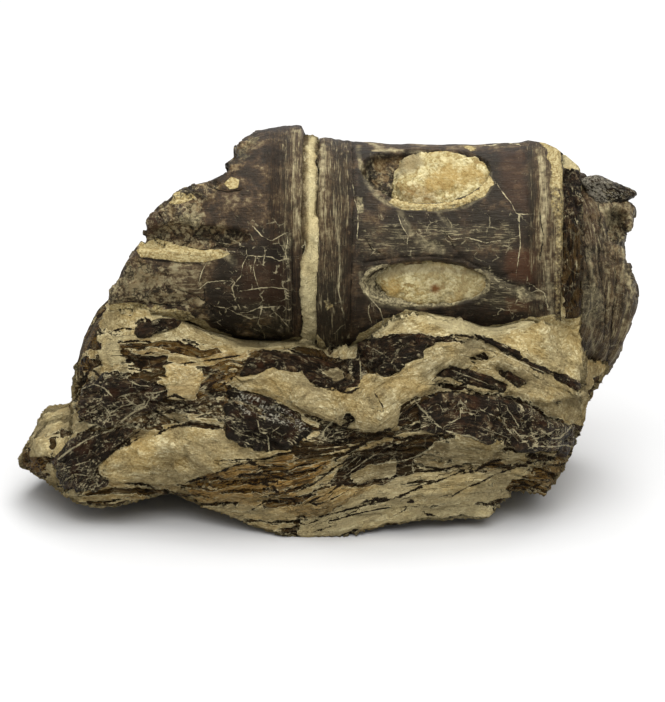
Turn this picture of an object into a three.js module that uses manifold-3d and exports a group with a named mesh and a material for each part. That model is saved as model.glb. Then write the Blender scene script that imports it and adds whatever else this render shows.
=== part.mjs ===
// A block of chalk that holds three fish vertebrae in line, with scraps of rib, spine and skull bone
// in the layers under them. The block stands on its broken foot with its display face leaning back.
//
// Everything is drawn in the face frame, in millimetres: x across the face, y up it, z out of it.
// One group then leans the face back and sets the foot on the ground, with +Z up.
import * as THREE from "three";
import { ImprovedNoise } from "three/addons/math/ImprovedNoise.js";
import { mergeVertices } from "three/addons/utils/BufferGeometryUtils.js";
import Module from "manifold-3d";

const wasm = await Module();
wasm.setup();

// Driving dimensions
const LEAN = THREE.MathUtils.degToRad(20); // how far the display face leans back
const FOOT = 4.9; // height of the ground above the face frame's origin, square to the ground
const GAP = 0.3; // clear space between a bone and the chalk round it
const SPINE_Y = 48.8; // height of the line through the middles of the vertebrae
const RIM_RADIUS = 18; // a vertebra's radius at its two rims
const WAIST_RADIUS = 16.9; // and half way between them
const CENTRUM_LENGTH = 40; // from rim to rim
const SEAM = 2.6; // chalk between the rims of two neighbours
const SEAM_SUNK = 0.6; // how far that chalk lies below the rims
const MIDDLE_X = 18; // the middle vertebra's centre
const LEFT_X = MIDDLE_X - CENTRUM_LENGTH - SEAM;
const LEFT_RISE = 2; // how far the left vertebra stands above the middle one
const LEFT_CUT = { rate: 0.42, front: 12, from: -15, over: 16 }; // its break, which slants in with depth
const RIGHT_END = [32.4, SPINE_Y - 4.2, -2.9]; // middle of the right vertebra's near end, before it is cut
const RIGHT_YAW = THREE.MathUtils.degToRad(24); // how far it is turned away
const RIGHT_SEAM_DROP = 2.2; // how far the chalk at the right end's rim lies below the middle vertebra's line
// The breaks that end it, towards the right and towards the back. at: a point on the break. turn:
// angle of its outward direction from z towards x. tip: angle up.
const RIGHT_BREAKS = [{ at: [47, 45, 10.5], turn: 60, tip: 6 }, { at: [46, 45, -13], turn: 150, tip: 8 }];
const RIGHT_HOLLOW = { at: [47.6, 52.2, 7], half: [2.6, 3.6, 5] }; // the hollow under the beak
const DISH = 1.6; // how far its ends are hollowed
const AROUND = 30; // faces round a vertebra

// The chalk's cross-sections, from the left end to the right, as distances in the face frame.
// x: place along the face. foot, lip, crest: heights of its lower edge, of the ledge against the
// vertebrae and of its top. footOut, bellyOut, lipOut, shelf: how far forward the lower edge, the
// swell under the ledge, the ledge and the wall above it stand. back: how far back it reaches.
const SECTIONS = [
  { x: -51.6, foot: 12.2, footOut: -1, bellyOut: 0, lip: 12.7, lipOut: 0, shelf: -1, crest: 13.2, back: -3.5 },
  { x: -50.0, foot: 11.8, footOut: 2, bellyOut: 4, lip: 14.6, lipOut: 4, shelf: 1, crest: 16.4, back: -9 },
  { x: -47.5, foot: 10.6, footOut: 5, bellyOut: 8, lip: 18.5, lipOut: 6, shelf: 3, crest: 22.0, back: -13.5 },
  { x: -42.8, foot: 6.9, footOut: 8, bellyOut: 12, lip: 20.5, lipOut: 7, shelf: 4, crest: 22.3, back: -17 },
  { x: -42.0, foot: 6.7, footOut: 9, bellyOut: 13, lip: 26.5, lipOut: 7, shelf: 4, crest: 29.0, back: -18 },
  { x: -40.9, foot: 5.8, footOut: 10, bellyOut: 14, lip: 31.6, lipOut: 8, shelf: 4, crest: 33.8, back: -20 },
  { x: -38.6, foot: 5.7, footOut: 10, bellyOut: 14, lip: 36.2, lipOut: 8.5, shelf: 4, crest: 38.4, back: -20.5 },
  { x: -36.0, foot: 5.9, footOut: 11, bellyOut: 15, lip: 38.3, lipOut: 11, shelf: 3, crest: 41.0, back: -22 },
  { x: -31.0, foot: 6.9, footOut: 11, bellyOut: 16, lip: 37.6, lipOut: 13, shelf: 2, crest: 46.0, back: -23.5 },
  { x: -26.0, foot: 8.4, footOut: 9, bellyOut: 17, lip: 37.2, lipOut: 13, shelf: 2, crest: 53.0, back: -24.5 },
  { x: -21.0, foot: 5.7, footOut: 9.5, bellyOut: 18, lip: 35.0, lipOut: 11.5, shelf: 2, crest: 56.0, back: -25 },
  { x: -14.0, foot: 3.4, footOut: 11, bellyOut: 18.5, lip: 32.2, lipOut: 9, shelf: 2, crest: 59.0, back: -25 },
  { x: -6.0, foot: 0.5, footOut: 12, bellyOut: 18.5, lip: 32.4, lipOut: 8.5, shelf: 2, crest: 60.0, back: -25.5 },
  { x: 1.0, foot: 0.3, footOut: 12, bellyOut: 18.5, lip: 31.4, lipOut: 7.5, shelf: 2, crest: 60.0, back: -25.5 },
  { x: 5.0, foot: 1.4, footOut: 12, bellyOut: 19, lip: 32.6, lipOut: 10, shelf: 2, crest: 60.0, back: -25.5 },
  { x: 9.0, foot: 2.9, footOut: 11.5, bellyOut: 19.5, lip: 36.2, lipOut: 13.6, shelf: 2, crest: 60.0, back: -25.5 },
  { x: 15.0, foot: 3.6, footOut: 11, bellyOut: 19.5, lip: 37.9, lipOut: 14.6, shelf: 2, crest: 60.0, back: -25.5 },
  { x: 20.0, foot: 3.8, footOut: 10.5, bellyOut: 19, lip: 37.2, lipOut: 14.2, shelf: 2, crest: 60.0, back: -25 },
  { x: 25.6, foot: 4.0, footOut: 10, bellyOut: 18.5, lip: 35.7, lipOut: 13.2, shelf: 2, crest: 60.0, back: -25 },
  { x: 28.0, foot: 5.8, footOut: 9, bellyOut: 17.5, lip: 35.8, lipOut: 13.2, shelf: 2, crest: 60.0, back: -24.5 },
  { x: 30.5, foot: 8.1, footOut: 8.5, bellyOut: 17, lip: 36.2, lipOut: 13.2, shelf: 2, crest: 61.0, back: -24.5 },
  { x: 35.6, foot: 7.8, footOut: 7.5, bellyOut: 15.5, lip: 37.0, lipOut: 13.2, shelf: 2, crest: 62.0, back: -24 },
  { x: 37.6, foot: 9.8, footOut: 6.5, bellyOut: 13.5, lip: 37.2, lipOut: 12.4, shelf: 2, crest: 61.5, back: -23.5 },
  { x: 39.0, foot: 13.2, footOut: 6, bellyOut: 12, lip: 36.0, lipOut: 11.5, shelf: 1, crest: 60.5, back: -23 },
  { x: 41.4, foot: 18.0, footOut: 5, bellyOut: 11, lip: 34.0, lipOut: 10.5, shelf: 0, crest: 58.5, back: -22.5 },
  { x: 42.5, foot: 23.0, footOut: 2, bellyOut: 4, lip: 32.0, lipOut: 3.5, shelf: -2, crest: 56.0, back: -21.5 },
  { x: 46.0, foot: 27.8, footOut: 0, bellyOut: 1, lip: 34.0, lipOut: 0, shelf: -3, crest: 52.0, back: -18.5 },
  { x: 48.3, foot: 32.8, footOut: -3, bellyOut: -2, lip: 36.0, lipOut: -3, shelf: -4, crest: 47.5, back: -15 },
  { x: 50.8, foot: 37.5, footOut: -5, bellyOut: -4, lip: 39.0, lipOut: -4.5, shelf: -5, crest: 41.5, back: -10 },
];
const RING_STEP = 3.4; // about how far apart the rings of corners along the block are
const ROUGHNESS = { reach: 0.7, wave: 5.5 }; // how far and how widely the broken chalk is uneven
const LAYER = { height: 5.2, step: 0.45 }; // beds that weather out as low steps on the face

// Lumps and hollows in the face. at: the middle of each. half: half its length and width. turn: its
// angle up from x. out: how far it swells, or sinks if below nothing.
const FORMS = [
  { at: [-6, 26.5], half: [13, 2.6], turn: -24, out: 1.3 }, // the raised plate, left arm
  { at: [6, 22.4], half: [9, 3.4], turn: 4, out: 1.8 }, // its middle
  { at: [15, 29.5], half: [9, 3.2], turn: 34, out: 1.7 }, // its right arm, up to the ledge
  { at: [28, 33], half: [11, 3.4], turn: -14, out: 1.0 }, // the shoulder right of it
  { at: [-11, 19.6], half: [7, 3.6], turn: -20, out: -0.8 }, // hollow round the dark lens
  { at: [-24, 15], half: [16, 3.4], turn: 18, out: 1.2 }, // long pale lens, lower left
  { at: [-40, 13.6], half: [5, 3.4], turn: 40, out: -0.9 }, // groove behind the corner of jaw
  { at: [-45.6, 17], half: [3, 3], turn: 0, out: 0.9 }, // nodule in the left lobe
  { at: [-33, 33], half: [8, 2.6], turn: 6, out: 0.9 }, // brow over the left skull bone
  { at: [-24, 27], half: [6, 2.4], turn: 24, out: 0.9 }, // pale lump right of it
  { at: [2, 15.4], half: [19, 1.5], turn: 8, out: 1.2 }, // ridges of the swirling beds
  { at: [-6, 11.4], half: [17, 1.5], turn: -10, out: 1.1 },
  { at: [6, 7.6], half: [20, 1.6], turn: 3, out: 1.1 },
  { at: [24, 10.6], half: [13, 1.8], turn: 9, out: 1.0 },
  { at: [6, 12], half: [12, 1.4], turn: 10, out: -0.9 }, // and troughs between them
  { at: [19, 13.6], half: [11, 1.4], turn: 6, out: -0.8 },
];

// The outline, seen along z, that the broken vertebrae are trimmed to, clockwise from the lower left.
const BREAK_LEFT = [
  [-37.4, 38.3], [-34.2, 43], [-32.8, 46.3], [-30.6, 49.6], [-30.2, 52.7], [-28.9, 54.4], [-24.9, 57.5],
  [-22.9, 58.5], [-20, 59], [-16.2, 60.4], [-16.9, 62], [-15, 63.2], [-14.9, 65.4], [-13.7, 66.8],
  [-11.8, 68.2], [-8.5, 68.9], [-2, 70], [-2, 30], [-12, 31.4], [-17.8, 33.4], [-23.5, 36.6], [-31, 37.4],
];
const BREAK_RIGHT = [
  [40.9, 25.6], [40.9, 62], [43.8, 60.2], [47, 57.6], [50.2, 55.6], [49.8, 52.6], [48.4, 49.6],
  [48.6, 46.4], [50, 43.2], [51.1, 39.6], [49, 35], [47.9, 30.8], [46.4, 28], [43.4, 24.4],
];

// The broken arch that juts out at the top right. from: how far forward its back is.
const BEAK = {
  outline: [[41.6, 59.8], [44.4, 60.6], [48.4, 59], [51.1, 57.7], [49.6, 56.6], [46, 55.4], [43.2, 56.2]],
  from: -2.5,
  depth: 8,
  bevel: 0.7,
  taper: 0.055, // share of its thickness lost with each millimetre to the right
};
const EDGE = 0.1; // the least bevel that an outline is grown or shrunk with

// Scraps of bone in the face, each as its outline, clockwise. proud: how far it stands out of the
// chalk. deep: how far it goes in.
const SCRAPS = {
  rib_long: {
    outline: [[24, 34.2], [26.2, 33.5], [33.7, 29.7], [38.8, 27.2], [41, 26], [40.6, 25.3], [33.6, 28.7],
      [28.3, 31.2], [25.2, 33]],
    proud: 0.5, deep: 1.6,
  },
  rib_stub_long: {
    outline: [[17.8, 27.7], [20.1, 29], [24.4, 27.5], [28.9, 26], [28, 25], [23.6, 25.8], [20.4, 27]],
    proud: 0.5, deep: 1.6,
  },
  rib_stub_short: {
    outline: [[27.4, 28.8], [29.6, 27.8], [31.9, 26.4], [31, 25.5], [28, 27.4]],
    proud: 0.5, deep: 1.6,
  },
  plate_under_rim: {
    outline: [[5.2, 32.6], [11, 33.4], [19.4, 33.6], [15.3, 32], [15.2, 31], [12.3, 29.6], [11.2, 28.1],
      [9.3, 27.1], [7.6, 28], [6.9, 29.6], [5.4, 30.6]],
    proud: 0.6, deep: 2.6,
  },
  plate_dark_band: {
    outline: [[-10.4, 31], [-5, 30.7], [-0.7, 29.8], [4.4, 29.2], [6, 28], [4.7, 25.3], [2.2, 24.8],
      [-2.3, 25.7], [-4.5, 28], [-9.8, 28.5], [-14.6, 27.4], [-13.4, 29.6]],
    proud: 0.6, deep: 2.4,
  },
  skull_lens: {
    outline: [[-16.7, 25], [-13.8, 24.5], [-9.8, 23.5], [-5.7, 21.2], [-3.3, 18.2], [-7, 15.6], [-11.2, 15.3],
      [-16.7, 17.7]],
    proud: 1.1, deep: 3,
  },
  skull_left: {
    outline: [[-41.4, 22], [-40.5, 26], [-37, 27.4], [-31.5, 27], [-27.6, 25], [-28.4, 22.6], [-32.4, 20.8],
      [-36.6, 19.6], [-40.2, 19.8]],
    proud: 1.1, deep: 3,
  },
  skull_right: {
    outline: [[15, 23.3], [19, 24.2], [26.3, 23.7], [29.8, 22.5], [32.5, 22.2], [36, 19.6], [40, 19],
      [40, 16], [38.8, 14.6], [35, 15.2], [31.5, 15.8], [29.3, 17], [25.7, 16.7], [23, 17.8], [15, 18.8]],
    proud: 0.9, deep: 3,
  },
  jaw_corner: {
    outline: [[-45.8, 13.5], [-41.7, 17.2], [-39.6, 18.2], [-36.4, 18.2], [-32.6, 19.2], [-32.2, 18.2],
      [-35, 16], [-37.8, 13], [-38.6, 11.4], [-36.6, 9.9], [-38.7, 8.4], [-43.8, 8.9], [-45, 10.8]],
    proud: 0.9, deep: 3,
  },
  splint_left: {
    outline: [[-31.8, 34.6], [-28.2, 36.4], [-25.4, 36.6], [-25.4, 35.4], [-28.2, 34.5], [-31.2, 34]],
    proud: 0.5, deep: 1.2,
  },
};

// The pits in the side of the middle vertebra. turn: angle up from the outward direction. half: half
// its length, half its width round the vertebra and its depth. shift: along the vertebra. bare: length
// at its left end with no chalk in it. sunk: how far the chalk lies below the bone at the right end.
const PITS = {
  upper: { turn: 47, half: [10.8, 7.2, 5.2], shift: -2.2, bare: 5.2, sunk: 0.9 },
  lower: { turn: -21.7, half: [10.5, 3.9, 4.6], shift: -2.2, bare: 1, sunk: 1 },
};
const WEDGE_PIT = { turn: -2, half: [13.5, 2.3, 3.2], shift: -1.4 }; // in the left vertebra

const CHALK = new THREE.MeshStandardMaterial({ color: 0xc2ad80, roughness: 0.95, metalness: 0 });
const PIT_CHALK = new THREE.MeshStandardMaterial({ color: 0xd8c58c, roughness: 0.9, metalness: 0 });
const BONE = new THREE.MeshStandardMaterial({ color: 0x3a2d22, roughness: 0.55, metalness: 0 });
const SCRAP_BONE = new THREE.MeshStandardMaterial({ color: 0x46382b, roughness: 0.6, metalness: 0 });

const noise = new ImprovedNoise();

// Joining and cutting
function solidFrom(geometry) {
  const bare = geometry.clone();
  for (const key of Object.keys(bare.attributes)) if (key !== "position") bare.deleteAttribute(key);
  const merged = mergeVertices(bare, 1e-4);
  return new wasm.Manifold(
    new wasm.Mesh({
      numProp: 3,
      vertProperties: merged.attributes.position.array,
      triVerts: new Uint32Array(merged.index.array),
    }),
  );
}

function geometryFrom(solid) {
  const { vertProperties, triVerts } = solid.getMesh();
  const indexed = new THREE.BufferGeometry();
  indexed.setAttribute("position", new THREE.BufferAttribute(new Float32Array(vertProperties), 3));
  indexed.setIndex(new THREE.BufferAttribute(new Uint32Array(triVerts), 1));
  const faceted = indexed.toNonIndexed();
  faceted.computeVertexNormals();
  return faceted;
}

function largest(solid) {
  return solid.decompose().sort((a, b) => b.volume() - a.volume())[0];
}

// Moves every corner of a geometry to where place() puts it.
function reshape(geometry, place) {
  const spots = geometry.attributes.position;
  const spot = new THREE.Vector3();
  for (let i = 0; i < spots.count; i++) {
    spot.fromBufferAttribute(spots, i);
    const [x, y, z] = place(spot);
    spots.setXYZ(i, x, y, z);
  }
  return geometry;
}

// The chalk
function sectionAt(x) {
  const next = SECTIONS.findIndex((section) => section.x >= x);
  const right = SECTIONS[Math.max(next < 0 ? SECTIONS.length - 1 : next, 1)];
  const left = SECTIONS[SECTIONS.indexOf(right) - 1];
  const share = THREE.MathUtils.clamp((x - left.x) / (right.x - left.x), 0, 1);
  const blended = {};
  for (const key of Object.keys(left)) blended[key] = THREE.MathUtils.lerp(left[key], right[key], share);
  return blended;
}

// Corners of one cross-section as [y, z], from the lower front edge up the face and round the back.
// steps: how many faces reach from that corner to the next.
function sectionCorners(section) {
  const { foot, footOut, bellyOut, lip, lipOut, shelf, crest, back } = section;
  const face = lip - foot;
  const wall = crest - lip;
  const tall = crest - foot;
  return [
    { at: [foot, footOut], steps: 4 },
    { at: [foot + 0.28 * face, THREE.MathUtils.lerp(footOut, bellyOut, 0.8)], steps: 4 },
    { at: [foot + 0.55 * face, bellyOut], steps: 5 },
    { at: [foot + 0.82 * face, THREE.MathUtils.lerp(bellyOut, lipOut, 0.45)], steps: 3 },
    { at: [lip, lipOut], steps: 1 },
    { at: [lip + 0.05 * wall, shelf], steps: 2 },
    { at: [crest - 0.1 * wall, shelf], steps: 1 },
    { at: [crest, shelf + 0.25 * (back - shelf)], steps: 2 },
    { at: [crest - 0.02 * tall, 0.66 * back], steps: 2 },
    { at: [crest - 0.1 * tall, 0.8 * back], steps: 2 },
    { at: [crest - 0.35 * tall, 0.9 * back], steps: 2 },
    { at: [crest - 0.7 * tall, back], steps: 2 },
    { at: [foot + 0.06 * tall, 0.97 * back], steps: 2 },
  ];
}

const ROUND = sectionCorners(SECTIONS[0]).reduce((sum, corner) => sum + corner.steps, 0);

// The point of a cross-section that is a given number of faces round from the lower front edge.
function sectionPoint(section, count) {
  const corners = sectionCorners(section);
  let done = 0;
  let index = 0;
  while (count >= done + corners[index].steps && index < corners.length - 1) {
    done += corners[index].steps;
    index += 1;
  }
  const share = (count - done) / corners[index].steps;
  const from = corners[index].at;
  const to = corners[(index + 1) % corners.length].at;
  return [THREE.MathUtils.lerp(from[0], to[0], share), THREE.MathUtils.lerp(from[1], to[1], share)];
}

// Moves a point by a smooth noise, most of all in and out of the face.
function roughen([x, y, z]) {
  const { reach, wave } = ROUGHNESS;
  const [a, b, c] = [x, y, z].map((value) => value / wave);
  return [
    x + reach * noise.noise(a, b, c),
    y + reach * noise.noise(a + 31, b, c),
    z + 1.3 * reach * noise.noise(a, b + 57, c),
  ];
}

// Low steps on the face where one bed of chalk ends and the next begins.
function bedding(x, y) {
  const bed = (y + 1.6 * Math.sin(x / 17) + 0.9 * noise.noise(x / 9, y / 5, 3)) / LAYER.height;
  return LAYER.step * (bed - Math.floor(bed) - 0.5);
}

// How far the lumps and hollows move the face at a point. Each fades out between edge - fade and edge
// times its half length and width.
function swelling(x, y) {
  const edge = 1.35;
  const fade = 0.6;
  return FORMS.reduce((sum, { at, half, turn, out }) => {
    const across = new THREE.Vector2(x - at[0], y - at[1]);
    across.rotateAround(new THREE.Vector2(), -THREE.MathUtils.degToRad(turn));
    const far = Math.hypot(across.x / half[0], across.y / half[1]);
    return sum + out * THREE.MathUtils.smoothstep(edge - far, 0, fade);
  }, 0);
}

// Places along the block where it has a ring of corners: at every section, and between those that
// are far apart.
function ringPlaces() {
  const between = SECTIONS.slice(1).flatMap((right, index) => {
    const left = SECTIONS[index];
    const count = Math.max(1, Math.round((right.x - left.x) / RING_STEP));
    return Array.from({ length: count }, (_, step) => THREE.MathUtils.lerp(left.x, right.x, (step + 1) / count));
  });
  return [SECTIONS[0].x, ...between];
}

function chalkGeometry() {
  const places = ringPlaces();
  const tube = new THREE.CylinderGeometry(1, 1, 1, ROUND, places.length - 1, false);
  return reshape(tube, (corner) => {
    const x = places[Math.round((corner.y + 0.5) * (places.length - 1))];
    const section = sectionAt(x);
    const turn = 1 - Math.atan2(corner.x, corner.z) / (2 * Math.PI);
    const rim = Math.hypot(corner.x, corner.z) > 0.5;
    if (!rim) {
      const middle = (section.foot + section.crest) / 2;
      return [x, middle, (section.bellyOut + section.back) / 2];
    }
    const [y, z] = sectionPoint(section, Math.round(turn * ROUND) % ROUND);
    const onFace = z > 0 && y > section.foot && y < section.lip - 0.5;
    return roughen([x, y, z + (onFace ? bedding(x, y) + swelling(x, y) : 0)]);
  });
}

// The vertebrae
function spoolGeometry() {
  const half = CENTRUM_LENGTH / 2;
  const outline = [
    [0, DISH - half], [RIM_RADIUS - 0.5, -half], [RIM_RADIUS, -half + 0.7], [RIM_RADIUS - 0.1, -0.88 * half],
    [WAIST_RADIUS + 0.3, -0.62 * half], [WAIST_RADIUS, -0.3 * half], [WAIST_RADIUS, 0.3 * half],
    [WAIST_RADIUS + 0.3, 0.62 * half], [RIM_RADIUS - 0.1, 0.88 * half], [RIM_RADIUS, half - 0.7],
    [RIM_RADIUS - 0.5, half], [0, half - DISH],
  ].map(([radius, along]) => new THREE.Vector2(radius, along));
  return new THREE.LatheGeometry(outline, AROUND).rotateZ(-Math.PI / 2);
}

// The room a vertebra needs in the chalk.
function spoolRoomGeometry() {
  const half = CENTRUM_LENGTH / 2 + GAP;
  const edge = RIM_RADIUS + GAP;
  const outline = [[0, DISH - half], [edge, -half], [edge, -0.8 * half], [edge - 0.7, -0.6 * half],
    [edge - 0.7, 0.6 * half], [edge, 0.8 * half], [edge, half], [0, half - DISH]]
    .map(([radius, along]) => new THREE.Vector2(radius, along));
  return new THREE.LatheGeometry(outline, AROUND).rotateZ(-Math.PI / 2);
}

// A solid ellipsoid sunk in a spool's side, at a pit's place.
function pitGeometry(pit, grow = 0) {
  const [length, width, depth] = pit.half.map((value) => value + grow);
  return new THREE.SphereGeometry(1, 18, 10)
    .scale(length, width, depth)
    .translate(pit.shift, 0, WAIST_RADIUS)
    .rotateX(-THREE.MathUtils.degToRad(pit.turn));
}

// A straight-sided solid of an outline seen along z, from one depth to another, grown all round.
function prismGeometry(points, { from, to, grow = 0, steps = 1 }) {
  const shape = new THREE.Shape(points.map(([x, y]) => new THREE.Vector2(x, y)));
  return new THREE.ExtrudeGeometry(shape, {
    depth: to - from,
    steps,
    bevelEnabled: true,
    bevelThickness: EDGE,
    bevelSize: EDGE,
    bevelOffset: grow - EDGE,
    bevelSegments: 1,
  }).translate(0, 0, from);
}

// A long solid of an outline, its sides as uneven as broken bone.
function brokenPrism(points, grow = 0) {
  const prism = prismGeometry(points, { from: -32, to: 32, grow, steps: 7 });
  const wave = 6;
  return reshape(prism, ({ x, y, z }) => {
    const [a, b, c] = [x, y, z].map((value) => value / wave);
    return [x + noise.noise(a, b, c), y + noise.noise(a, b + 9, c), z];
  });
}

// Slants the left end of a prism: the further back, the further it is cut in.
function slantLeft(prism) {
  const { rate, front, from, over } = LEFT_CUT;
  return reshape(prism, ({ x, y, z }) => {
    const slant = rate * Math.max(0, front - z) * THREE.MathUtils.smoothstep(from - x, 0, over);
    return [x + slant, y, z];
  });
}

// Takes off what lies beyond a slanting break.
function breakAway(solid, { at, turn, tip }) {
  const size = 120;
  const beyond = new THREE.BoxGeometry(size, size, size).translate(0, 0, size / 2);
  beyond.rotateX(-THREE.MathUtils.degToRad(tip)).rotateY(THREE.MathUtils.degToRad(turn));
  return solid.subtract(solidFrom(beyond.translate(...at)));
}

const MIDDLE_PLACE = new THREE.Matrix4().makeTranslation(MIDDLE_X, SPINE_Y, 0);
const LEFT_PLACE = new THREE.Matrix4().makeTranslation(LEFT_X, SPINE_Y + LEFT_RISE, 0);
const RIGHT_PLACE = new THREE.Matrix4()
  .makeTranslation(...RIGHT_END)
  .multiply(new THREE.Matrix4().makeRotationY(RIGHT_YAW))
  .multiply(new THREE.Matrix4().makeTranslation(CENTRUM_LENGTH / 2, 0, 0));

const placed = (geometry, place) => solidFrom(geometry.applyMatrix4(place));

function middleVertebra() {
  const pits = Object.values(PITS).map((pit) => placed(pitGeometry(pit), MIDDLE_PLACE));
  return {
    solid: pits.reduce((bone, pit) => bone.subtract(pit), placed(spoolGeometry(), MIDDLE_PLACE)),
    room: placed(spoolRoomGeometry(), MIDDLE_PLACE),
  };
}

function leftVertebra() {
  const kept = solidFrom(slantLeft(brokenPrism(BREAK_LEFT)));
  const room = solidFrom(slantLeft(brokenPrism(BREAK_LEFT, GAP)));
  const wedge = placed(pitGeometry(WEDGE_PIT), LEFT_PLACE);
  return {
    solid: largest(placed(spoolGeometry(), LEFT_PLACE).intersect(kept).subtract(wedge)),
    room: placed(spoolRoomGeometry(), LEFT_PLACE).intersect(room),
  };
}

function rightVertebra() {
  const kept = solidFrom(brokenPrism(BREAK_RIGHT));
  const room = solidFrom(brokenPrism(BREAK_RIGHT, GAP));
  const hollow = new THREE.SphereGeometry(1, 12, 8).scale(...RIGHT_HOLLOW.half).translate(...RIGHT_HOLLOW.at);
  const bone = placed(spoolGeometry(), RIGHT_PLACE).intersect(kept).subtract(solidFrom(hollow));
  return {
    solid: largest(RIGHT_BREAKS.reduce(breakAway, bone)),
    room: placed(spoolRoomGeometry(), RIGHT_PLACE).intersect(room),
  };
}

// Chalk in a pit: its top slopes up from the bare end's floor to a little below the bone.
function pitFilling(pit) {
  const [length, , depth] = pit.half;
  const inside = placed(pitGeometry(pit, -GAP), MIDDLE_PLACE);
  const reach = 2 * length - pit.bare;
  const ramp = [[0, 0], [WAIST_RADIUS - depth, 0], [WAIST_RADIUS - 2 * pit.sunk, 0.16 * reach],
    [WAIST_RADIUS - pit.sunk, 0.4 * reach], [WAIST_RADIUS - pit.sunk, reach], [0, reach]]
    .map(([radius, along]) => new THREE.Vector2(radius, along));
  const core = new THREE.LatheGeometry(ramp, AROUND).rotateZ(-Math.PI / 2);
  core.translate(pit.shift - length + pit.bare, 0, 0);
  return largest(inside.intersect(placed(core, MIDDLE_PLACE)));
}

// The disc of chalk between two rims, thickest where it fills their hollowed ends.
function seamGeometry(x, y) {
  const radius = RIM_RADIUS - SEAM_SUNK;
  const half = SEAM / 2 + 0.2;
  const outline = [[0, -half - DISH], [radius, -half], [radius, half], [0, half + DISH]]
    .map(([out, along]) => new THREE.Vector2(out, along));
  return new THREE.LatheGeometry(outline, AROUND).rotateZ(-Math.PI / 2).translate(x, y, 0);
}

// Scraps of bone, cut from the chalk's own face so that they follow it
const RAW_CHALK = solidFrom(chalkGeometry());

function scrap({ outline, proud, deep }) {
  const column = (grow) => solidFrom(prismGeometry(outline, { from: -4, to: 40, grow }));
  const lowered = (out) => RAW_CHALK.translate([0, 0, out]);
  return {
    solid: largest(column(0).intersect(lowered(proud)).subtract(lowered(-deep))),
    room: column(GAP).subtract(lowered(-deep - GAP)),
  };
}

function beak(grow = 0) {
  const shape = new THREE.Shape(BEAK.outline.map(([x, y]) => new THREE.Vector2(x, y)));
  const slab = new THREE.ExtrudeGeometry(shape, {
    depth: BEAK.depth + 2 * grow,
    bevelEnabled: true,
    bevelThickness: BEAK.bevel,
    bevelSize: BEAK.bevel,
    bevelOffset: grow - BEAK.bevel,
    bevelSegments: 1,
  });
  slab.translate(0, 0, BEAK.from - grow);
  const root = BEAK.outline[0][0];
  return solidFrom(reshape(slab, ({ x, y, z }) => [x, y, z * (1 - BEAK.taper * Math.max(0, x - root))]));
}

// Putting it together
const bones = {
  vertebra_middle: middleVertebra(),
  vertebra_left: leftVertebra(),
  vertebra_right: rightVertebra(),
  arch_beak: { solid: beak(), room: beak(GAP) },
};
bones.vertebra_right.solid = largest(bones.vertebra_right.solid.subtract(bones.arch_beak.room));
for (const [name, details] of Object.entries(SCRAPS)) bones[name] = scrap(details);

function chalkBlock() {
  const seams = [
    seamGeometry(MIDDLE_X - CENTRUM_LENGTH / 2 - SEAM / 2, SPINE_Y + LEFT_RISE / 2),
    seamGeometry(MIDDLE_X + CENTRUM_LENGTH / 2 + SEAM / 2, SPINE_Y - RIGHT_SEAM_DROP),
  ];
  let chalk = seams.reduce((block, seam) => block.add(solidFrom(seam)), RAW_CHALK);
  for (const { room } of Object.values(bones)) chalk = chalk.subtract(room);
  const wide = 200;
  const ground = new THREE.BoxGeometry(wide, wide, wide).translate(0, 0, -wide / 2);
  ground.rotateX(-(Math.PI / 2 - LEAN));
  ground.translate(0, FOOT * Math.cos(LEAN), FOOT * Math.sin(LEAN));
  return largest(chalk.subtract(solidFrom(ground)));
}

function piece(name, solid, material) {
  const mesh = new THREE.Mesh(geometryFrom(solid), material);
  mesh.name = name;
  return mesh;
}

const face = new THREE.Group();
face.add(piece("chalk_block", chalkBlock(), CHALK));
for (const [name, pit] of Object.entries(PITS)) {
  face.add(piece(`pit_chalk_${name}`, pitFilling(pit), PIT_CHALK));
}
for (const [name, { solid }] of Object.entries(bones)) {
  face.add(piece(name, solid, name.startsWith("vertebra") ? BONE : SCRAP_BONE));
}
face.rotation.x = Math.PI / 2 - LEAN;

// The origin is on the ground, under the middle of the box round the whole block.
const specimen = new THREE.Group();
specimen.name = "fossil_fish_vertebra";
specimen.add(face);
const box = new THREE.Box3().setFromObject(specimen, true);
const middle = box.getCenter(new THREE.Vector3());
face.position.set(-middle.x, -middle.y, -box.min.z);

export default specimen;
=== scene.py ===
"""Three fish vertebrae in a block of chalk, with scraps of rib and skull bone in the beds under them.

The block's face is measured as in its model: u across the face, v up it and w out of it, in
millimetres. Whatever was read from the photograph is given as a place in the picture, in pixels
from its top left corner, and PICTURE turns a point of the face into such a place.
"""

import logging
import math
from dataclasses import dataclass
from enum import Enum

import bmesh
import bpy
import numpy as np
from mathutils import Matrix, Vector
from mathutils.bvhtree import BVHTree


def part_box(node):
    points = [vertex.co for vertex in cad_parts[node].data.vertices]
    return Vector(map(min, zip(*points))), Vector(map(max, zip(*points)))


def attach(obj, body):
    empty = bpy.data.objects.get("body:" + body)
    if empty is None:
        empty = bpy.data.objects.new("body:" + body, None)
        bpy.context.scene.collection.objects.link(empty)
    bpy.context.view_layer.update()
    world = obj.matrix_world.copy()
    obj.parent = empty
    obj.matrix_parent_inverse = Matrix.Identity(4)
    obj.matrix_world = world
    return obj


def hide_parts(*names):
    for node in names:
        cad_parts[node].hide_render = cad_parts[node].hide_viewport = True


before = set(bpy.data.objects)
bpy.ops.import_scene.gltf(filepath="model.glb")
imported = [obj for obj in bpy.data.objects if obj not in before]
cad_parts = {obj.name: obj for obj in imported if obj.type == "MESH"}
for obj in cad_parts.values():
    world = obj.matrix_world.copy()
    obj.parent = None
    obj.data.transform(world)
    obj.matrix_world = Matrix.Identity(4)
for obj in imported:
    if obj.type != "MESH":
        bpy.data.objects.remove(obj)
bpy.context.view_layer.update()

LOG = logging.getLogger("fossil")
MM = 0.001
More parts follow.
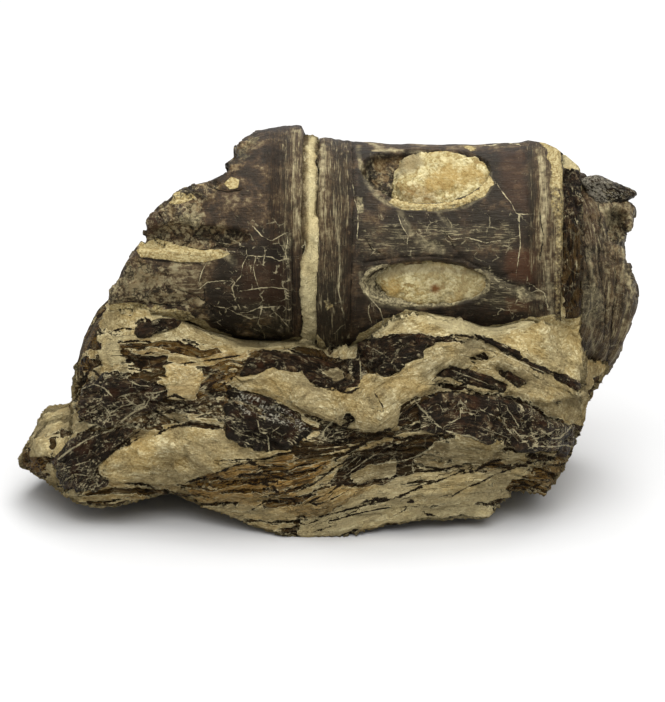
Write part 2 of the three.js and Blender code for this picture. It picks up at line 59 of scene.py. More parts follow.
FAR = 99.0  # the distance to a line that is nowhere near
Path = tuple[float, ...]  # places in the picture in pixels, each across and then down


def paint(red: int, green: int, blue: int) -> tuple[float, float, float, float]:
    """A screen colour, 0 to 255 each, as the linear colour that a shader takes, with full alpha."""
    parts = (((one / 255 + 0.055) / 1.055) ** 2.4 if one > 10 else one / 3295 for one in (red, green, blue))
    return (*parts, 1.0)


def ease(values: np.ndarray, low: float, high: float) -> np.ndarray:
    """Rises smoothly from 0 to 1 while values go from low to high."""
    share = np.clip((values - low) / (high - low), 0, 1)
    return share * share * (3 - 2 * share)


def evened(values: np.ndarray) -> np.ndarray:
    """Spreads values evenly over 0 to 1, keeping their order."""
    return np.searchsorted(np.sort(values), values) / max(1, len(values))


def mixed(first: np.ndarray, second: np.ndarray | float, share: np.ndarray) -> np.ndarray:
    """Goes from first to second by a share."""
    return first + (second - first) * share


class Noise:
    """Smooth seeded noise, worked out for many points at once."""

    @staticmethod
    def cell_value(cells: np.ndarray, seed: int) -> np.ndarray:
        """A fixed number from 0 to 1 for each whole-numbered cell.

        Args:
            cells: Whole numbers, three to a cell.
            seed: Which pattern.

        Returns:
            One number for each cell.
        """
        parts = cells.astype(np.int64)
        number = (parts[..., 0] * 73856093) ^ (parts[..., 1] * 19349663) ^ (parts[..., 2] * 83492791)
        number = (number ^ (seed * 40503)) & 0xFFFFFFFF
        number = ((number ^ (number >> 15)) * 73244475) & 0xFFFFFFFF
        number = ((number ^ (number >> 13)) * 73244475) & 0xFFFFFFFF
        return (number ^ (number >> 16)) / 0xFFFFFFFF

    @classmethod
    def smooth(cls, points: np.ndarray, seed: int) -> np.ndarray:
        """One layer of smooth noise, from 0 to 1, with features one unit across.

        Args:
            points: Places, three numbers each.
            seed: Which pattern.

        Returns:
            One value for each point.
        """
        base = np.floor(points)
        share = points - base
        share = share**3 * (share * (share * 6 - 15) + 10)
        total = np.zeros(len(points))
        for corner in range(8):
            step = np.array([corner & 1, (corner >> 1) & 1, corner >> 2])
            weight = np.prod(np.where(step == 1, share, 1 - share), axis=1)
            total += weight * cls.cell_value(base + step, seed)
        return total

    @classmethod
    def layered(cls, points: np.ndarray, seed: int, layers: int = 4) -> np.ndarray:
        """Noise with finer and fainter layers on top, from 0 to 1.

        Args:
            points: Places, three numbers each.
            seed: Which pattern.
            layers: How many.

        Returns:
            One value for each point.
        """
        total = np.zeros(len(points))
        for layer in range(layers):
            total += cls.smooth(points * 2**layer + 17.3 * layer, seed + layer) / 2**layer
        return total / (2 - 0.5 ** (layers - 1))

    @classmethod
    def shards(cls, points: np.ndarray, seed: int) -> np.ndarray:
        """One level for all that is nearest to the same of scattered centres, as on a splintered face.

        Args:
            points: Places, three numbers each.
            seed: Which pattern.

        Returns:
            The level for each point, from -0.5 to 0.5.
        """
        base = np.floor(points)
        nearest = np.full(len(points), 9.0)
        level = np.zeros(len(points))
        for cell in range(27):
            here = base + np.array([cell % 3 - 1, cell // 3 % 3 - 1, cell // 9 - 1])
            centre = here + np.stack([cls.cell_value(here, seed + axis) for axis in range(3)], axis=1)
            far = np.linalg.norm(points - centre, axis=1)
            closer = far < nearest
            level[closer] = cls.cell_value(here[closer], seed + 3) - 0.5
            nearest[closer] = far[closer]
        return level


@dataclass(frozen=True)
class FaceFrame:
    """The frame of the block's face in millimetres: u across it, v up it and w out of it.

    lean is how far the face leans back, and spine the middle of the middle vertebra.
    """

    lean: float = math.radians(20)
    spine: tuple[float, float, float] = (18.0, 48.8, 0.0)

    def axes(self) -> np.ndarray:
        """The directions of u, v and w in the row frame, one to a row."""
        sine, cosine = math.sin(self.lean), math.cos(self.lean)
        return np.array([[1.0, 0.0, 0.0], [0.0, sine, cosine], [0.0, -cosine, sine]])

    def spine_in_row(self) -> np.ndarray:
        """The middle of the middle vertebra in the row frame, in metres."""
        low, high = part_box("vertebra_middle")
        return np.array((low + high) / 2)

    def of_row(self, places: np.ndarray) -> np.ndarray:
        """Row-frame places in metres, as face-frame places in millimetres."""
        return (places - self.spine_in_row()) / MM @ self.axes().T + np.array(self.spine)

    def to_row(self, places: np.ndarray) -> np.ndarray:
        """Face-frame places in millimetres, as row-frame places in metres."""
        return (places - np.array(self.spine)) @ self.axes() * MM + self.spine_in_row()


FACE = FaceFrame()


@dataclass(frozen=True)
class Picture:
    """The photograph's frame, and the camera that looks square on to the block's face.

    scale is in pixels to a millimetre at distance, which is in millimetres, and aim is the place
    on the face that lies at the picture's middle.
    """

    width: int = 665
    height: int = 702
    scale: float = 6.0
    distance: float = 900.0
    aim: tuple[float, float] = (0.417, 31.5)
    sensor: float = 36.0

    def places(self, face: np.ndarray) -> np.ndarray:
        """Where points of the face frame lie in the picture, in pixels across and down."""
        grown = (self.scale * self.distance / (self.distance - face[:, 2]))[:, None] * (1, -1)
        return np.array((self.width / 2, self.height / 2)) + grown * (face[:, :2] - self.aim)

    def add_camera(self) -> bpy.types.Object:
        """Makes the camera and hands the scene to it.

        Returns:
            The camera.
        """
        data = bpy.data.cameras.new("camera")
        data.sensor_width = self.sensor
        data.lens = self.sensor * self.scale * self.distance / max(self.width, self.height)
        data.clip_start, data.clip_end = 0.05, 50
        camera = bpy.data.objects.new("camera", data)
        camera.location = FACE.to_row(np.array([[*self.aim, self.distance]]))[0]
        outward = Vector(FACE.axes()[2])
        camera.rotation_mode = "QUATERNION"
        camera.rotation_quaternion = (-outward).to_track_quat("-Z", "Y")
        bpy.context.scene.collection.objects.link(camera)
        bpy.context.scene.camera = camera
        return camera


PICTURE = Picture()


def to_segment(spots: np.ndarray, start: np.ndarray, end: np.ndarray) -> np.ndarray:
    """Distance of each spot to a straight segment.

    Args:
        spots: Places in the picture.
        start: One end of the segment.
        end: Its other end.

    Returns:
        One distance for each spot.
    """
    along = end - start
    share = np.clip((spots - start) @ along / max(along @ along, 1e-9), 0, 1)
    return np.linalg.norm(spots - start - share[:, None] * along, axis=1)


class Outlined:
    """What is outlined in the picture. ragged is how uneven its edge is, and soft half the edge's width."""

    outline: Path
    ragged: float
    soft: float

    def share(self, spots: np.ndarray, wander: np.ndarray) -> np.ndarray:
        """How much of it lies on each spot, from 0 to 1.

        Args:
            spots: Places in the picture.
            wander: Noise from 0 to 1 that makes the edge uneven.

        Returns:
            One share for each spot.
        """
        nearest = np.full(len(spots), 1e9)
        inside = np.zeros(len(spots), bool)
        corners = np.array(self.outline, float).reshape(-1, 2)
        for start, end in zip(corners, np.roll(corners, -1, axis=0)):
            nearest = np.minimum(nearest, to_segment(spots, start, end))
            crosses = (start[1] > spots[:, 1]) != (end[1] > spots[:, 1])
            rise = end[1] - start[1] if end[1] != start[1] else 1e-9
            reach = (end[0] - start[0]) * (spots[:, 1] - start[1]) / rise + start[0]
            inside ^= crosses & (spots[:, 0] < reach)
        depth = np.where(inside, nearest, -nearest) + self.ragged * (wander - 0.5)
        return ease(depth, -self.soft, self.soft)


@dataclass(frozen=True)
class Mark(Outlined):
    """A part of a piece that shows an amount of something."""

    outline: Path
    amount: float = 1.0
    ragged: float = 7.0
    soft: float = 1.5


@dataclass(frozen=True)
class Patch(Outlined):
    """A part of the block's face, in chalk or bone.

    bone is the share of it that is dark bone, ochre, grey, film, network and pale how much of each it
    shows, and rise how far it stands out in millimetres.
    """

    outline: Path
    bone: float | None = None
    ochre: float | None = None
    grey: float | None = None
    film: float | None = None
    network: float | None = None
    pale: float | None = None
    rise: float = 0.0
    ragged: float = 7.0
    soft: float = 1.5


@dataclass(frozen=True)
class Line:
    """A thin line in the picture, such as a crack, width pixels wide."""

    path: Path
    width: float = 0.9

    def parts(self) -> zip:
        """The two ends of each of its straight parts."""
        ends = np.array(self.path, float).reshape(-1, 2)
        return zip(ends, ends[1:])

    def strength(self, spots: np.ndarray) -> np.ndarray:
        """How much of the stroke lies on each spot, from 0 to 1."""
        nearest = np.min([to_segment(spots, start, end) for start, end in self.parts()], axis=0)
        return 1 - ease(nearest, 0.5 * self.width, 1.5 * self.width)


def line_distance(strokes: tuple[Line, ...], spots: np.ndarray) -> np.ndarray:
    """How far each spot is from the nearest stroke's middle line, as a share of the stroke's width.

    Args:
        strokes: The strokes.
        spots: Places in the picture.

    Returns:
        The distances, less than nothing on one side of a line.
    """
    nearest = np.full(len(spots), FAR)
    for stroke in strokes:
        for start, end in stroke.parts():
            far = to_segment(spots, start, end) / stroke.width
            along, away = end - start, spots - start
            side = np.where(along[0] * away[:, 1] > along[1] * away[:, 0], 1.0, -1.0)
            nearest = np.where(far < np.abs(nearest), far * side, nearest)
    return nearest


# The beds of the chalk: lines in the picture that follow them, from the ledge down to the foot.
BED_LINES: tuple[Path, ...] = (
    (0, 330, 100, 309, 185, 312, 241, 344, 300, 332, 330, 355, 368, 328, 407, 311, 450, 318, 475, 329, 560,
     312, 665, 300),
    (0, 395, 80, 352, 160, 347, 200, 352, 271, 341, 326, 362, 358, 372, 373, 366, 404, 352, 430, 342, 474,
     336, 532, 362, 581, 386, 665, 420),
    (0, 430, 60, 412, 110, 395, 167, 392, 200, 392, 233, 380, 270, 392, 296, 404, 340, 418, 380, 420, 410,
     398, 437, 380, 470, 370, 520, 384, 581, 415, 665, 450),
    (0, 455, 50, 440, 90, 428, 140, 410, 196, 424, 230, 432, 262, 446, 296, 447, 330, 440, 380, 437, 420, 432,
     470, 436, 519, 446, 573, 452, 665, 470),
    (0, 480, 60, 478, 103, 466, 139, 462, 183, 470, 215, 470, 250, 464, 290, 462, 330, 455, 380, 450, 430,
     450, 480, 457, 540, 462, 665, 480),
    (0, 496, 60, 492, 115, 484, 183, 488, 214, 492, 250, 488, 290, 482, 330, 470, 370, 458, 400, 456, 440,
     462, 500, 470, 560, 474, 665, 490),
    (0, 510, 92, 504, 156, 498, 214, 506, 250, 510, 300, 506, 340, 494, 380, 484, 420, 478, 470, 480, 520,
     484, 665, 505),
    (0, 530, 92, 520, 156, 515, 214, 520, 263, 528, 310, 524, 350, 512, 400, 500, 450, 494, 500, 494, 560,
     500, 665, 520),
    (0, 560, 156, 545, 263, 550, 350, 545, 450, 520, 560, 520, 665, 540),
)
BED_STEP = 5.0  # about how thick the chalk between two of the lines is, in millimetres


def bed_levels(spots: np.ndarray) -> np.ndarray:
    """How far up through the beds each spot lies.

    Args:
        spots: Places in the picture.

    Returns:
        One level for each spot, in millimetres, highest at the ledge.
    """
    heights = [np.interp(spots[:, 0], line[::2], line[1::2]) for line in BED_LINES]
    level = (heights[0] - spots[:, 1]) / PICTURE.scale
    for number, (upper, lower) in enumerate(zip(heights, heights[1:])):
        share = (spots[:, 1] - upper) / np.maximum(lower - upper, 3.0)
        level = np.where(spots[:, 1] > upper, -BED_STEP * (number + share), level)
    return level


class Surface:
    """A mesh that is worked into a piece, made from copies of nodes of the model."""

    def __init__(self, name: str, nodes: tuple[str, ...], voxel: float, grown: float = 0.0) -> None:
        """Joins copies of the nodes and meshes them again in even faces.

        Args:
            name: The piece's name.
            nodes: The nodes that are copied.
            voxel: How large the faces are, in millimetres.
            grown: How far the copies of all nodes but the first are grown first, in millimetres.
        """
        self.name = name
        whole = bmesh.new()
        for number, node in enumerate(nodes):
            part = bmesh.new()
            part.from_mesh(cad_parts[node].data)
            bmesh.ops.remove_doubles(part, verts=part.verts, dist=1e-6)
            part.normal_update()
            if number and grown:
                for vert in part.verts:
                    vert.co += vert.normal * grown * MM
            copy = bpy.data.meshes.new(node)
            part.to_mesh(copy)
            part.free()
            whole.from_mesh(copy)
            bpy.data.meshes.remove(copy)
        self.mesh = bpy.data.meshes.new(name)
        whole.to_mesh(self.mesh)
        whole.free()
        self.remesh(voxel)

    def remesh(self, voxel: float) -> None:
        """Meshes the surface again in even faces.

        Args:
            voxel: How large the faces are, in millimetres.
        """
        holder = bpy.data.objects.new(self.name, self.mesh)
        bpy.context.scene.collection.objects.link(holder)
        step = holder.modifiers.new("remesh", "REMESH")
        step.mode = "VOXEL"
        step.voxel_size = voxel * MM
        graph = bpy.context.evaluated_depsgraph_get()
        fresh = bpy.data.meshes.new_from_object(holder.evaluated_get(graph))
        bpy.data.objects.remove(holder)
        bpy.data.meshes.remove(self.mesh)
        self.mesh = fresh
        self.mesh.name = self.name
        self.measure()

    def measure(self) -> None:
        """Reads every point's place and direction into arrays, in the face frame."""
        count = len(self.mesh.vertices)
        places = np.empty(count * 3)
        self.mesh.vertices.foreach_get("co", places)
        self.face = FACE.of_row(places.reshape(-1, 3))
        outward = np.empty(count * 3)
        self.mesh.vertices.foreach_get("normal", outward)
        self.outward = outward.reshape(-1, 3) @ FACE.axes().T
        self.spots = PICTURE.places(self.face)

    def place(self, face: np.ndarray) -> None:
        """Moves every point to a place in the face frame.

        Args:
            face: The new places.
        """
        self.mesh.vertices.foreach_set("co", FACE.to_row(face).ravel())
        self.mesh.update()
        self.measure()

    def lower_to(self, line: Path) -> None:
        """Lowers whatever reaches over a line in the picture, given from left to right."""
        over = np.interp(self.spots[:, 0], line[::2], line[1::2]) - self.spots[:, 1]
        self.place(self.face - np.array([0.0, 1 / PICTURE.scale, 0.0]) * np.maximum(over, 0)[:, None])

    def stand(self) -> None:
        """Raises whatever would sink into the floor."""
        places = FACE.to_row(self.face)
        places[:, 2] = np.maximum(places[:, 2], 0.0)
        self.place(FACE.of_row(places))

    def swell(self, heights: np.ndarray) -> None:
        """Moves every point outwards, by so many millimetres."""
        self.place(self.face + self.outward * heights[:, None])

    def refine(self, chosen: np.ndarray, cuts: int) -> None:
        """Divides the edges between chosen points.

        Args:
            chosen: True for each chosen point.
            cuts: How many cuts to an edge.
        """
        work = bmesh.new()
        work.from_mesh(self.mesh)
        edges = [edge for edge in work.edges if chosen[edge.verts[0].index] and chosen[edge.verts[1].index]]
        bmesh.ops.subdivide_edges(work, edges=edges, cuts=cuts, use_grid_fill=True)
        work.to_mesh(self.mesh)
        work.free()
        self.measure()

    def relax(self, times: int) -> None:
        """Smooths the surface.

        Args:
            times: How many rounds.
        """
        work = bmesh.new()
        work.from_mesh(self.mesh)
        for _ in range(times):
            axes = {"use_axis_x": True, "use_axis_y": True, "use_axis_z": True}
            bmesh.ops.smooth_vert(work, verts=work.verts, factor=0.5, **axes)
        work.to_mesh(self.mesh)
        work.free()
        self.measure()

    def gap_to(self, nodes: tuple[str, ...]) -> np.ndarray:
        """How far each point is from the nearest of some nodes.

        Args:
            nodes: The nodes.

        Returns:
            The distances in millimetres, and no more than 5.
        """
        most = 5.0
        gap = np.full(len(self.mesh.vertices), most)
        for node in nodes:
            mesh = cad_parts[node].data
            corners = [vert.co for vert in mesh.vertices]
            tree = BVHTree.FromPolygons(corners, [face.vertices for face in mesh.polygons])
            low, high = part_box(node)
            reach = most * MM
            places = FACE.to_row(self.face)
            near = np.all((places > np.array(low) - reach) & (places < np.array(high) + reach), axis=1)
            for number in np.flatnonzero(near):
                found = tree.find_nearest(Vector(places[number]), reach)
                if found[0] is not None:
                    gap[number] = min(gap[number], found[3] / MM)
        return gap

    def facing(self) -> np.ndarray:
        """How much each point faces the camera, from 0 at a right angle to 1."""
        return ease(self.outward[:, 2], -0.05, 0.3)

    def write(self, name: str, values: np.ndarray) -> None:
        """Keeps values with the mesh, for its material.

        Args:
            name: What the material calls them.
            values: One number or one place for each point.
        """
        kind, field = ("FLOAT_VECTOR", "vector") if values.ndim == 2 else ("FLOAT", "value")
        layer = self.mesh.attributes.new(name, kind, "POINT")
        layer.data.foreach_set(field, values.astype(np.float32).ravel())

    def finish(self, material: bpy.types.Material, slot: str, nodes: tuple[str, ...]) -> bpy.types.Object:
        """Makes the piece, and lets it stand for its nodes.

        Args:
            material: What it is dressed in.
            slot: The record's slot that this stands for; not used.
            nodes: The nodes that it replaces.

        Returns:
            The piece.
        """
        self.mesh.materials.clear()
        self.mesh.materials.append(material)
        self.mesh.shade_smooth()
        piece = bpy.data.objects.new(self.name, self.mesh)
        bpy.context.scene.collection.objects.link(piece)
        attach(piece, "root")
        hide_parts(*nodes)
        LOG.info("%s: %d points, %d faces", self.name, len(self.mesh.vertices), len(self.mesh.polygons))
        return piece


# Finishes
class Wire:
    """A number or a colour that a node gives out. Arithmetic with it adds nodes."""

    def __init__(self, shader: "Shader", socket: bpy.types.NodeSocket) -> None:
        """Takes hold of one output of a node."""
        self.shader = shader
        self.socket = socket

    def __add__(self, other: "Wire | float") -> "Wire":
        """The sum of the two."""
        return self.shader.math("ADD", self, other)

    def __sub__(self, other: "Wire | float") -> "Wire":
        """The difference of the two."""
        return self.shader.math("SUBTRACT", self, other)

    def __rsub__(self, other: float) -> "Wire":
        """A number less this one."""
        return self.shader.math("SUBTRACT", other, self)

    def __mul__(self, other: "Wire | float") -> "Wire":
        """The product of the two."""
        return self.shader.math("MULTIPLY", self, other)

    def __truediv__(self, other: "Wire | float") -> "Wire":
        """This one divided by the other."""
        return self.shader.math("DIVIDE", self, other)

    def __rtruediv__(self, other: float) -> "Wire":
        """A number divided by this one."""
        return self.shader.math("DIVIDE", other, self)

    def __abs__(self) -> "Wire":
        """This one without its sign."""
        return self.shader.math("ABSOLUTE", self)

    def or_more(self, other: "Wire") -> "Wire":
        """The greater of the two."""
        return self.shader.math("MAXIMUM", self, other)

    def within(
        self, low: "Wire | float", high: "Wire | float", start: float = 0.0, end: float = 1.0
    ) -> "Wire":
        """Rises smoothly from start to end while this one goes from low to high.

        Args:
            low: Where the rise starts.
            high: Where it ends.
            start: The least result.
            end: The greatest.

        Returns:
            The result.
        """
        limits = {"From_Min": low, "From_Max": high, "To_Min": start, "To_Max": end}
        return self.shader.wire("MapRange", {"interpolation_type": "SMOOTHSTEP"}, Value=self, **limits)


class Shader:
    """Adds nodes to a material or a node group, and joins them."""

    def __init__(self, tree: bpy.types.NodeTree) -> None:
        """Works on one tree of nodes."""
        self.tree = tree

    def feed(self, node: bpy.types.Node, values: dict) -> None:
        """Joins wires to a node's inputs, or sets the inputs to numbers.

        Args:
            node: The node.
            values: What goes into each input, by its number or by its name with _ for a space.
        """
        for key, value in values.items():
            socket = node.inputs[key.replace("_", " ") if isinstance(key, str) else key]
            if isinstance(value, Wire):
                self.tree.links.new(value.socket, socket)
            elif value is not None:
                socket.default_value = value

    def add(self, kind: str, settings: dict | None = None, *ordered, **named) -> dict[str | int, Wire]:
        """Adds a node.

        Args:
            kind: Its type, without the words ShaderNode.
            settings: Its own settings.
            ordered: What goes into its first inputs.
            named: What goes into others.

        Returns:
            What it gives out, by name and by number.
        """
        node = self.tree.nodes.new("ShaderNode" + kind)
        for key, value in (settings or {}).items():
            setattr(node, key, value)
        self.feed(node, {**dict(enumerate(ordered)), **named})
        wires = [Wire(self, socket) for socket in node.outputs]
        return {**dict(enumerate(wires)), **{wire.socket.name: wire for wire in reversed(wires)}}

    def wire(self, kind: str, settings: dict | None = None, *ordered, **named) -> Wire:
        """What a new node gives out first."""
        return self.add(kind, settings, *ordered, **named)[0]

    def math(self, operation: str, *numbers: Wire | float) -> Wire:
        """One step of arithmetic."""
        return self.wire("Math", {"operation": operation}, *numbers)

    def vector(self, operation: str, *places: Wire | tuple, **named) -> Wire:
        """One step of arithmetic with places."""
        return self.wire("VectorMath", {"operation": operation}, *places, **named)

    def noise(
        self, place: Wire, scale: Wire | float, detail: float, roughness: float = 0.5, bend: float = 0.0
    ) -> Wire:
        """Cloudy noise, about 0.3 to 0.7.

        Args:
            place: The places it is read at.
            scale: How many clouds there are to a millimetre.
            detail: How many finer layers lie on them.
            roughness: How strong those are.
            bend: How far it is drawn into swirls.

        Returns:
            Its value.
        """
        values = {"Scale": scale, "Detail": detail, "Roughness": roughness, "Distortion": bend}
        return self.add("TexNoise", Vector=place, **values)["Fac"]

    def cells(self, place: Wire, scale: Wire, feature: str = "F1") -> dict[str | int, Wire]:
        """Cells round scattered centres."""
        return self.add("TexVoronoi", {"feature": feature}, Vector=place, Scale=scale)

    def blend(self, share: Wire, first: Wire | tuple, second: Wire | tuple) -> Wire:
        """Mixes two colours, with a share of the second."""
        return self.add("Mix", {"data_type": "RGBA"}, share, *[None] * 5, first, second)[2]

    def coats(self, colour: Wire, *coats: tuple[Wire, Wire | tuple]) -> Wire:
        """Lays colours over one another.

        Args:
            colour: The lowest one.
            coats: How much of each colour lies over the ones before, and the colour.

        Returns:
            What is seen of them.
        """
        for share, coat in coats:
            colour = self.blend(share, colour, coat)
        return colour

    def ramp(self, share: Wire, *stops: tuple[float, tuple]) -> Wire:
        """Turns a value into a colour.

        Args:
            share: The value.
            stops: Each value and its colour, from the least up.

        Returns:
            The colour.
        """
        colour = self.wire("ValToRGB", None, share)
        points = colour.socket.node.color_ramp.elements
        while len(points) < len(stops):
            points.new(0.5)
        for point, (place, shade) in zip(points, stops):
            point.position = place
            point.color = shade
        return colour

    def attribute(self, name: str) -> Wire:
        """A number that is kept with the mesh."""
        return self.add("Attribute", {"attribute_name": name})["Fac"]

    def bed(self) -> Wire:
        """Places along and across the beds or the bone, kept with the mesh."""
        return self.add("Attribute", {"attribute_name": "bed"})["Vector"]

    def place(self) -> Wire:
        """Where a point lies on the piece, in millimetres."""
        return self.vector("SCALE", self.add("TexCoord")["Object"], Scale=1 / MM)

    def drawn_out(self, bed: Wire, stretch: float = 3.0) -> Wire:
        """Places drawn out along the beds, so that spots become splinters."""
        return self.vector("MULTIPLY", bed, (1 / stretch, 1.0, 1.0))

    def bump(self, height: Wire, depth: float, under: Wire | None = None) -> Wire:
        """A relief that is only seen in the light, depth millimetres high and laid over another one."""
        return self.wire("Bump", Strength=1.0, Distance=depth * MM, Height=height, Normal=under)

    def fibres(self, place: Wire, length: float, width: float) -> Wire:
        """Fine threads along the first axis of a place."""
        return Effect.FIBRES.use(self, Place=place, Length=length, Width=width)["Value"]

    def shards(self, place: Wire, size: float, width: float = 0.1) -> dict[str | int, Wire]:
        """Angular shards: their Tone, and the Line between them."""
        return Effect.SHARDS.use(self, Place=place, Size=size, Width=width)

    def crumb(self, place: Wire, size: float) -> dict[str | int, Wire]:
        """Crumbly grains: their Tone and Height, and a Speck now and then."""
        return Effect.CRUMB.use(self, Place=place, Size=size)

    def hairline(self, name: str, place: Wire) -> Wire:
        """The thin lines whose distance is kept with the mesh under a name."""
        return Effect.HAIRLINE.use(self, Distance=self.attribute(name), Place=place)["Mask"]

    def ragged(self, name: str, place: Wire, **values: float) -> dict[str | int, Wire]:
        """A crisp uneven edge to what is kept with the mesh under a name: its Mask, and a thin band outside
        it for a painted highlight.
        """
        return Effect.RAGGED.use(self, Field=self.attribute(name), Place=place, **values)

    def film(self, splinters: Wire, place: Wire, fill: float) -> Wire:
        """The gritty film on scraps of bone, with a share of it between its thick spots."""
        thick = self.ragged("film", splinters, Size=0.3, Reach=3.0, Softness=0.1)["Mask"]
        return thick * self.shards(place, 0.45, 0.05)["Tone"].within(0.4, 0.75, fill, 1.0)


class Group(Shader):
    """A node group in the making."""

    def __init__(self, name: str, **takes: float | None) -> None:
        """Starts the group.

        Args:
            name: What it is called.
            takes: Its inputs' values, and None for a place.
        """
        super().__init__(bpy.data.node_groups.new(name, "ShaderNodeTree"))
        for title, value in takes.items():
            kind = "NodeSocketVector" if value is None else "NodeSocketFloat"
            socket = self.tree.interface.new_socket(title, in_out="INPUT", socket_type=kind)
            if value is not None:
                socket.default_value = value
        self.start = self.tree.nodes.new("NodeGroupInput")

    def __getitem__(self, title: str) -> Wire:
        """What comes in by an input."""
        return Wire(self, self.start.outputs[title])

    def give(self, **wires: Wire) -> bpy.types.NodeTree:
        """Ends the group with its outputs.

        Args:
            wires: What it gives out, by name.

        Returns:
            The group.
        """
        for title in wires:
            self.tree.interface.new_socket(title, in_out="OUTPUT", socket_type="NodeSocketFloat")
        self.feed(self.tree.nodes.new("NodeGroupOutput"), wires)
        return self.tree


class Dressing(Shader):
    """A material in the making."""

    def __init__(self, name: str, roughness: float, specular: float) -> None:
        """Starts the material.

        Args:
            name: What it is called.
            roughness: Its roughness where nothing is joined to it.
            specular: How strongly it shines.
        """
        self.material = bpy.data.materials.new(name)
        self.material.use_nodes = True
        super().__init__(self.material.node_tree)
        self.end(Roughness=roughness, Specular_IOR_Level=specular, Specular_Tint=(1.0, 0.86, 0.66, 1.0))

    def end(self, **values: Wire | float | tuple) -> bpy.types.Material:
        """Gives the material's shader its values."""
        self.feed(self.tree.nodes["Principled BSDF"], values)
        return self.material


class Effect(Enum):
    """The effects that several finishes share, each a node group."""

    FIBRES = "fibres"
    SHARDS = "shards"
    HAIRLINE = "hairline"
    RAGGED = "ragged"
    CRUMB = "crumb"

    def build(self) -> bpy.types.NodeTree:
        """Makes the effect's node group."""
        makers = (fibres_group, shards_group, hairline_group, ragged_group, crumb_group)
        return dict(zip(Effect, makers))[self]()

    def use(self, shader: Shader, **values: Wire | float) -> dict[str | int, Wire]:
        """Places the effect in a material, and gives what comes out of it."""
        tree = bpy.data.node_groups.get(self.value) or self.build()
        return shader.add("Group", {"node_tree": tree}, **values)


def fibres_group() -> bpy.types.NodeTree:
    """Fine threads along the first axis of a place: Length long, Width across and twice that deep.

    Returns:
        The group.
    """
    group = Group("fibres", Place=None, Length=5.0, Width=0.4)
    parts = group.add("SeparateXYZ", None, group["Place"])
    across, deep = parts[1] / group["Width"], parts[2] / (group["Width"] * 2.0)
    drawn = group.wire("CombineXYZ", None, parts[0] / group["Length"], across, deep)
    return group.give(Value=group.noise(drawn, 1.0, 5.0, 0.62, 0.5).within(0.28, 0.72))


def shards_group() -> bpy.types.NodeTree:
    """Angular shards, each with a Tone of its own, and the Line between them, Width millimetres wide.

    Returns:
        The group.
    """
    group = Group("shards", Place=None, Size=3.0, Width=0.1)
    place, size = group["Place"], group["Size"]
    spread = 1.0 / size
    bend = group.add("TexNoise", Vector=place, Scale=0.9, Detail=5.0, Roughness=0.65)["Color"]
    moved = group.vector("ADD", place, group.vector("SCALE", bend, Scale=1.2))
    tone = group.wire("SeparateColor", None, group.cells(moved, spread)["Color"])
    across = group.cells(moved, spread, "DISTANCE_TO_EDGE")["Distance"] * size
    shown = group.noise(place, 0.5, 4.0, 0.6).within(0.48, 0.64)
    line = across.within(0.0, group["Width"] * shown, 1.0, 0.0)
    return group.give(Tone=tone, Line=line * shown.within(0.0, 0.3))


def hairline_group() -> bpy.types.NodeTree:
    """A thin uneven line where Distance, in widths of the line, is 0, broken up by noise.

    Returns:
        The group.
    """
    group = Group("hairline", Distance=9.0, Place=None, Width=1.0)
    place, distance = group["Place"], group["Distance"]
    moved = distance + (group.noise(place, 2.2, 4.0, 0.75) - 0.5) * 2.6
    wide = group["Width"] * group.noise(place, 0.8, 3.0).within(0.34, 0.62, 0.06, 0.8)
    line = abs(moved).within(wide * 0.45, wide, 1.0, 0.0)
    return group.give(Mask=line * abs(distance).within(2.0, 2.6, 1.0, 0.0))


def ragged_group() -> bpy.types.NodeTree:
    """Turns a field into a mask with a crisp uneven edge where the field is 0, and a thin band outside it for
    a painted highlight.

    Size is how wide the unevenness is in millimetres, and Reach how far it moves the edge.

    Returns:
        The group.
    """
    group = Group("ragged", Field=0.0, Place=None, Size=0.5, Reach=0.4, Softness=0.08)
    chips = group.noise(group["Place"], 1.0 / group["Size"], 5.0, 0.7)
    field = group["Field"] + (chips - 0.5) * group["Reach"]
    softness = group["Softness"]
    return group.give(Mask=field.within(softness * -1.0, softness), Rim=field.within(-0.16, -0.05))


def crumb_group() -> bpy.types.NodeTree:
    """Crumbly grains: their Tone and Height, and a Speck now and then. Size is in millimetres.

    Returns:
        The group.
    """
    group = Group("crumb", Place=None, Size=0.6)
    place, spread = group["Place"], 1.0 / group["Size"]
    grains = group.cells(place, spread)
    coarse = group.noise(place, spread * 0.4, 6.0, 0.7)
    tone = group.wire("SeparateColor", None, grains["Color"]) * 0.35 + coarse * 0.65
    height = (1.0 - grains["Distance"]) * 0.5 + coarse
    speck = group.noise(place, spread * 0.9, 3.0, 0.6).within(0.66, 0.7)
    return group.give(Tone=tone.within(0.25, 0.75), Height=height, Speck=speck)


@dataclass(frozen=True)
class BoneTones:
    """The colours of the fossil bone, from its darkest to the film of dust and the chalk on it."""

    deep: tuple = paint(15, 10, 6)
    dark: tuple = paint(34, 24, 16)
    brown: tuple = paint(62, 46, 30)
    # the lightest bone: partly worn bone, partly a painted highlight on the ridges
    worn_and_lit: tuple = paint(108, 94, 68)
    red: tuple = paint(62, 33, 15)
    tan: tuple = paint(104, 80, 46)
    grey: tuple = paint(88, 81, 62)
    film: tuple = paint(136, 126, 96)
    vein: tuple = paint(176, 165, 130)
    dust: tuple = paint(164, 153, 118)
    dull_chalk: tuple = paint(140, 121, 78)
    chalk: tuple = paint(164, 147, 101)
    bright_chalk: tuple = paint(186, 171, 126)
    cool_glint: tuple = paint(168, 163, 144)
    dull_glint: tuple = paint(142, 136, 120)


TONES = BoneTones()


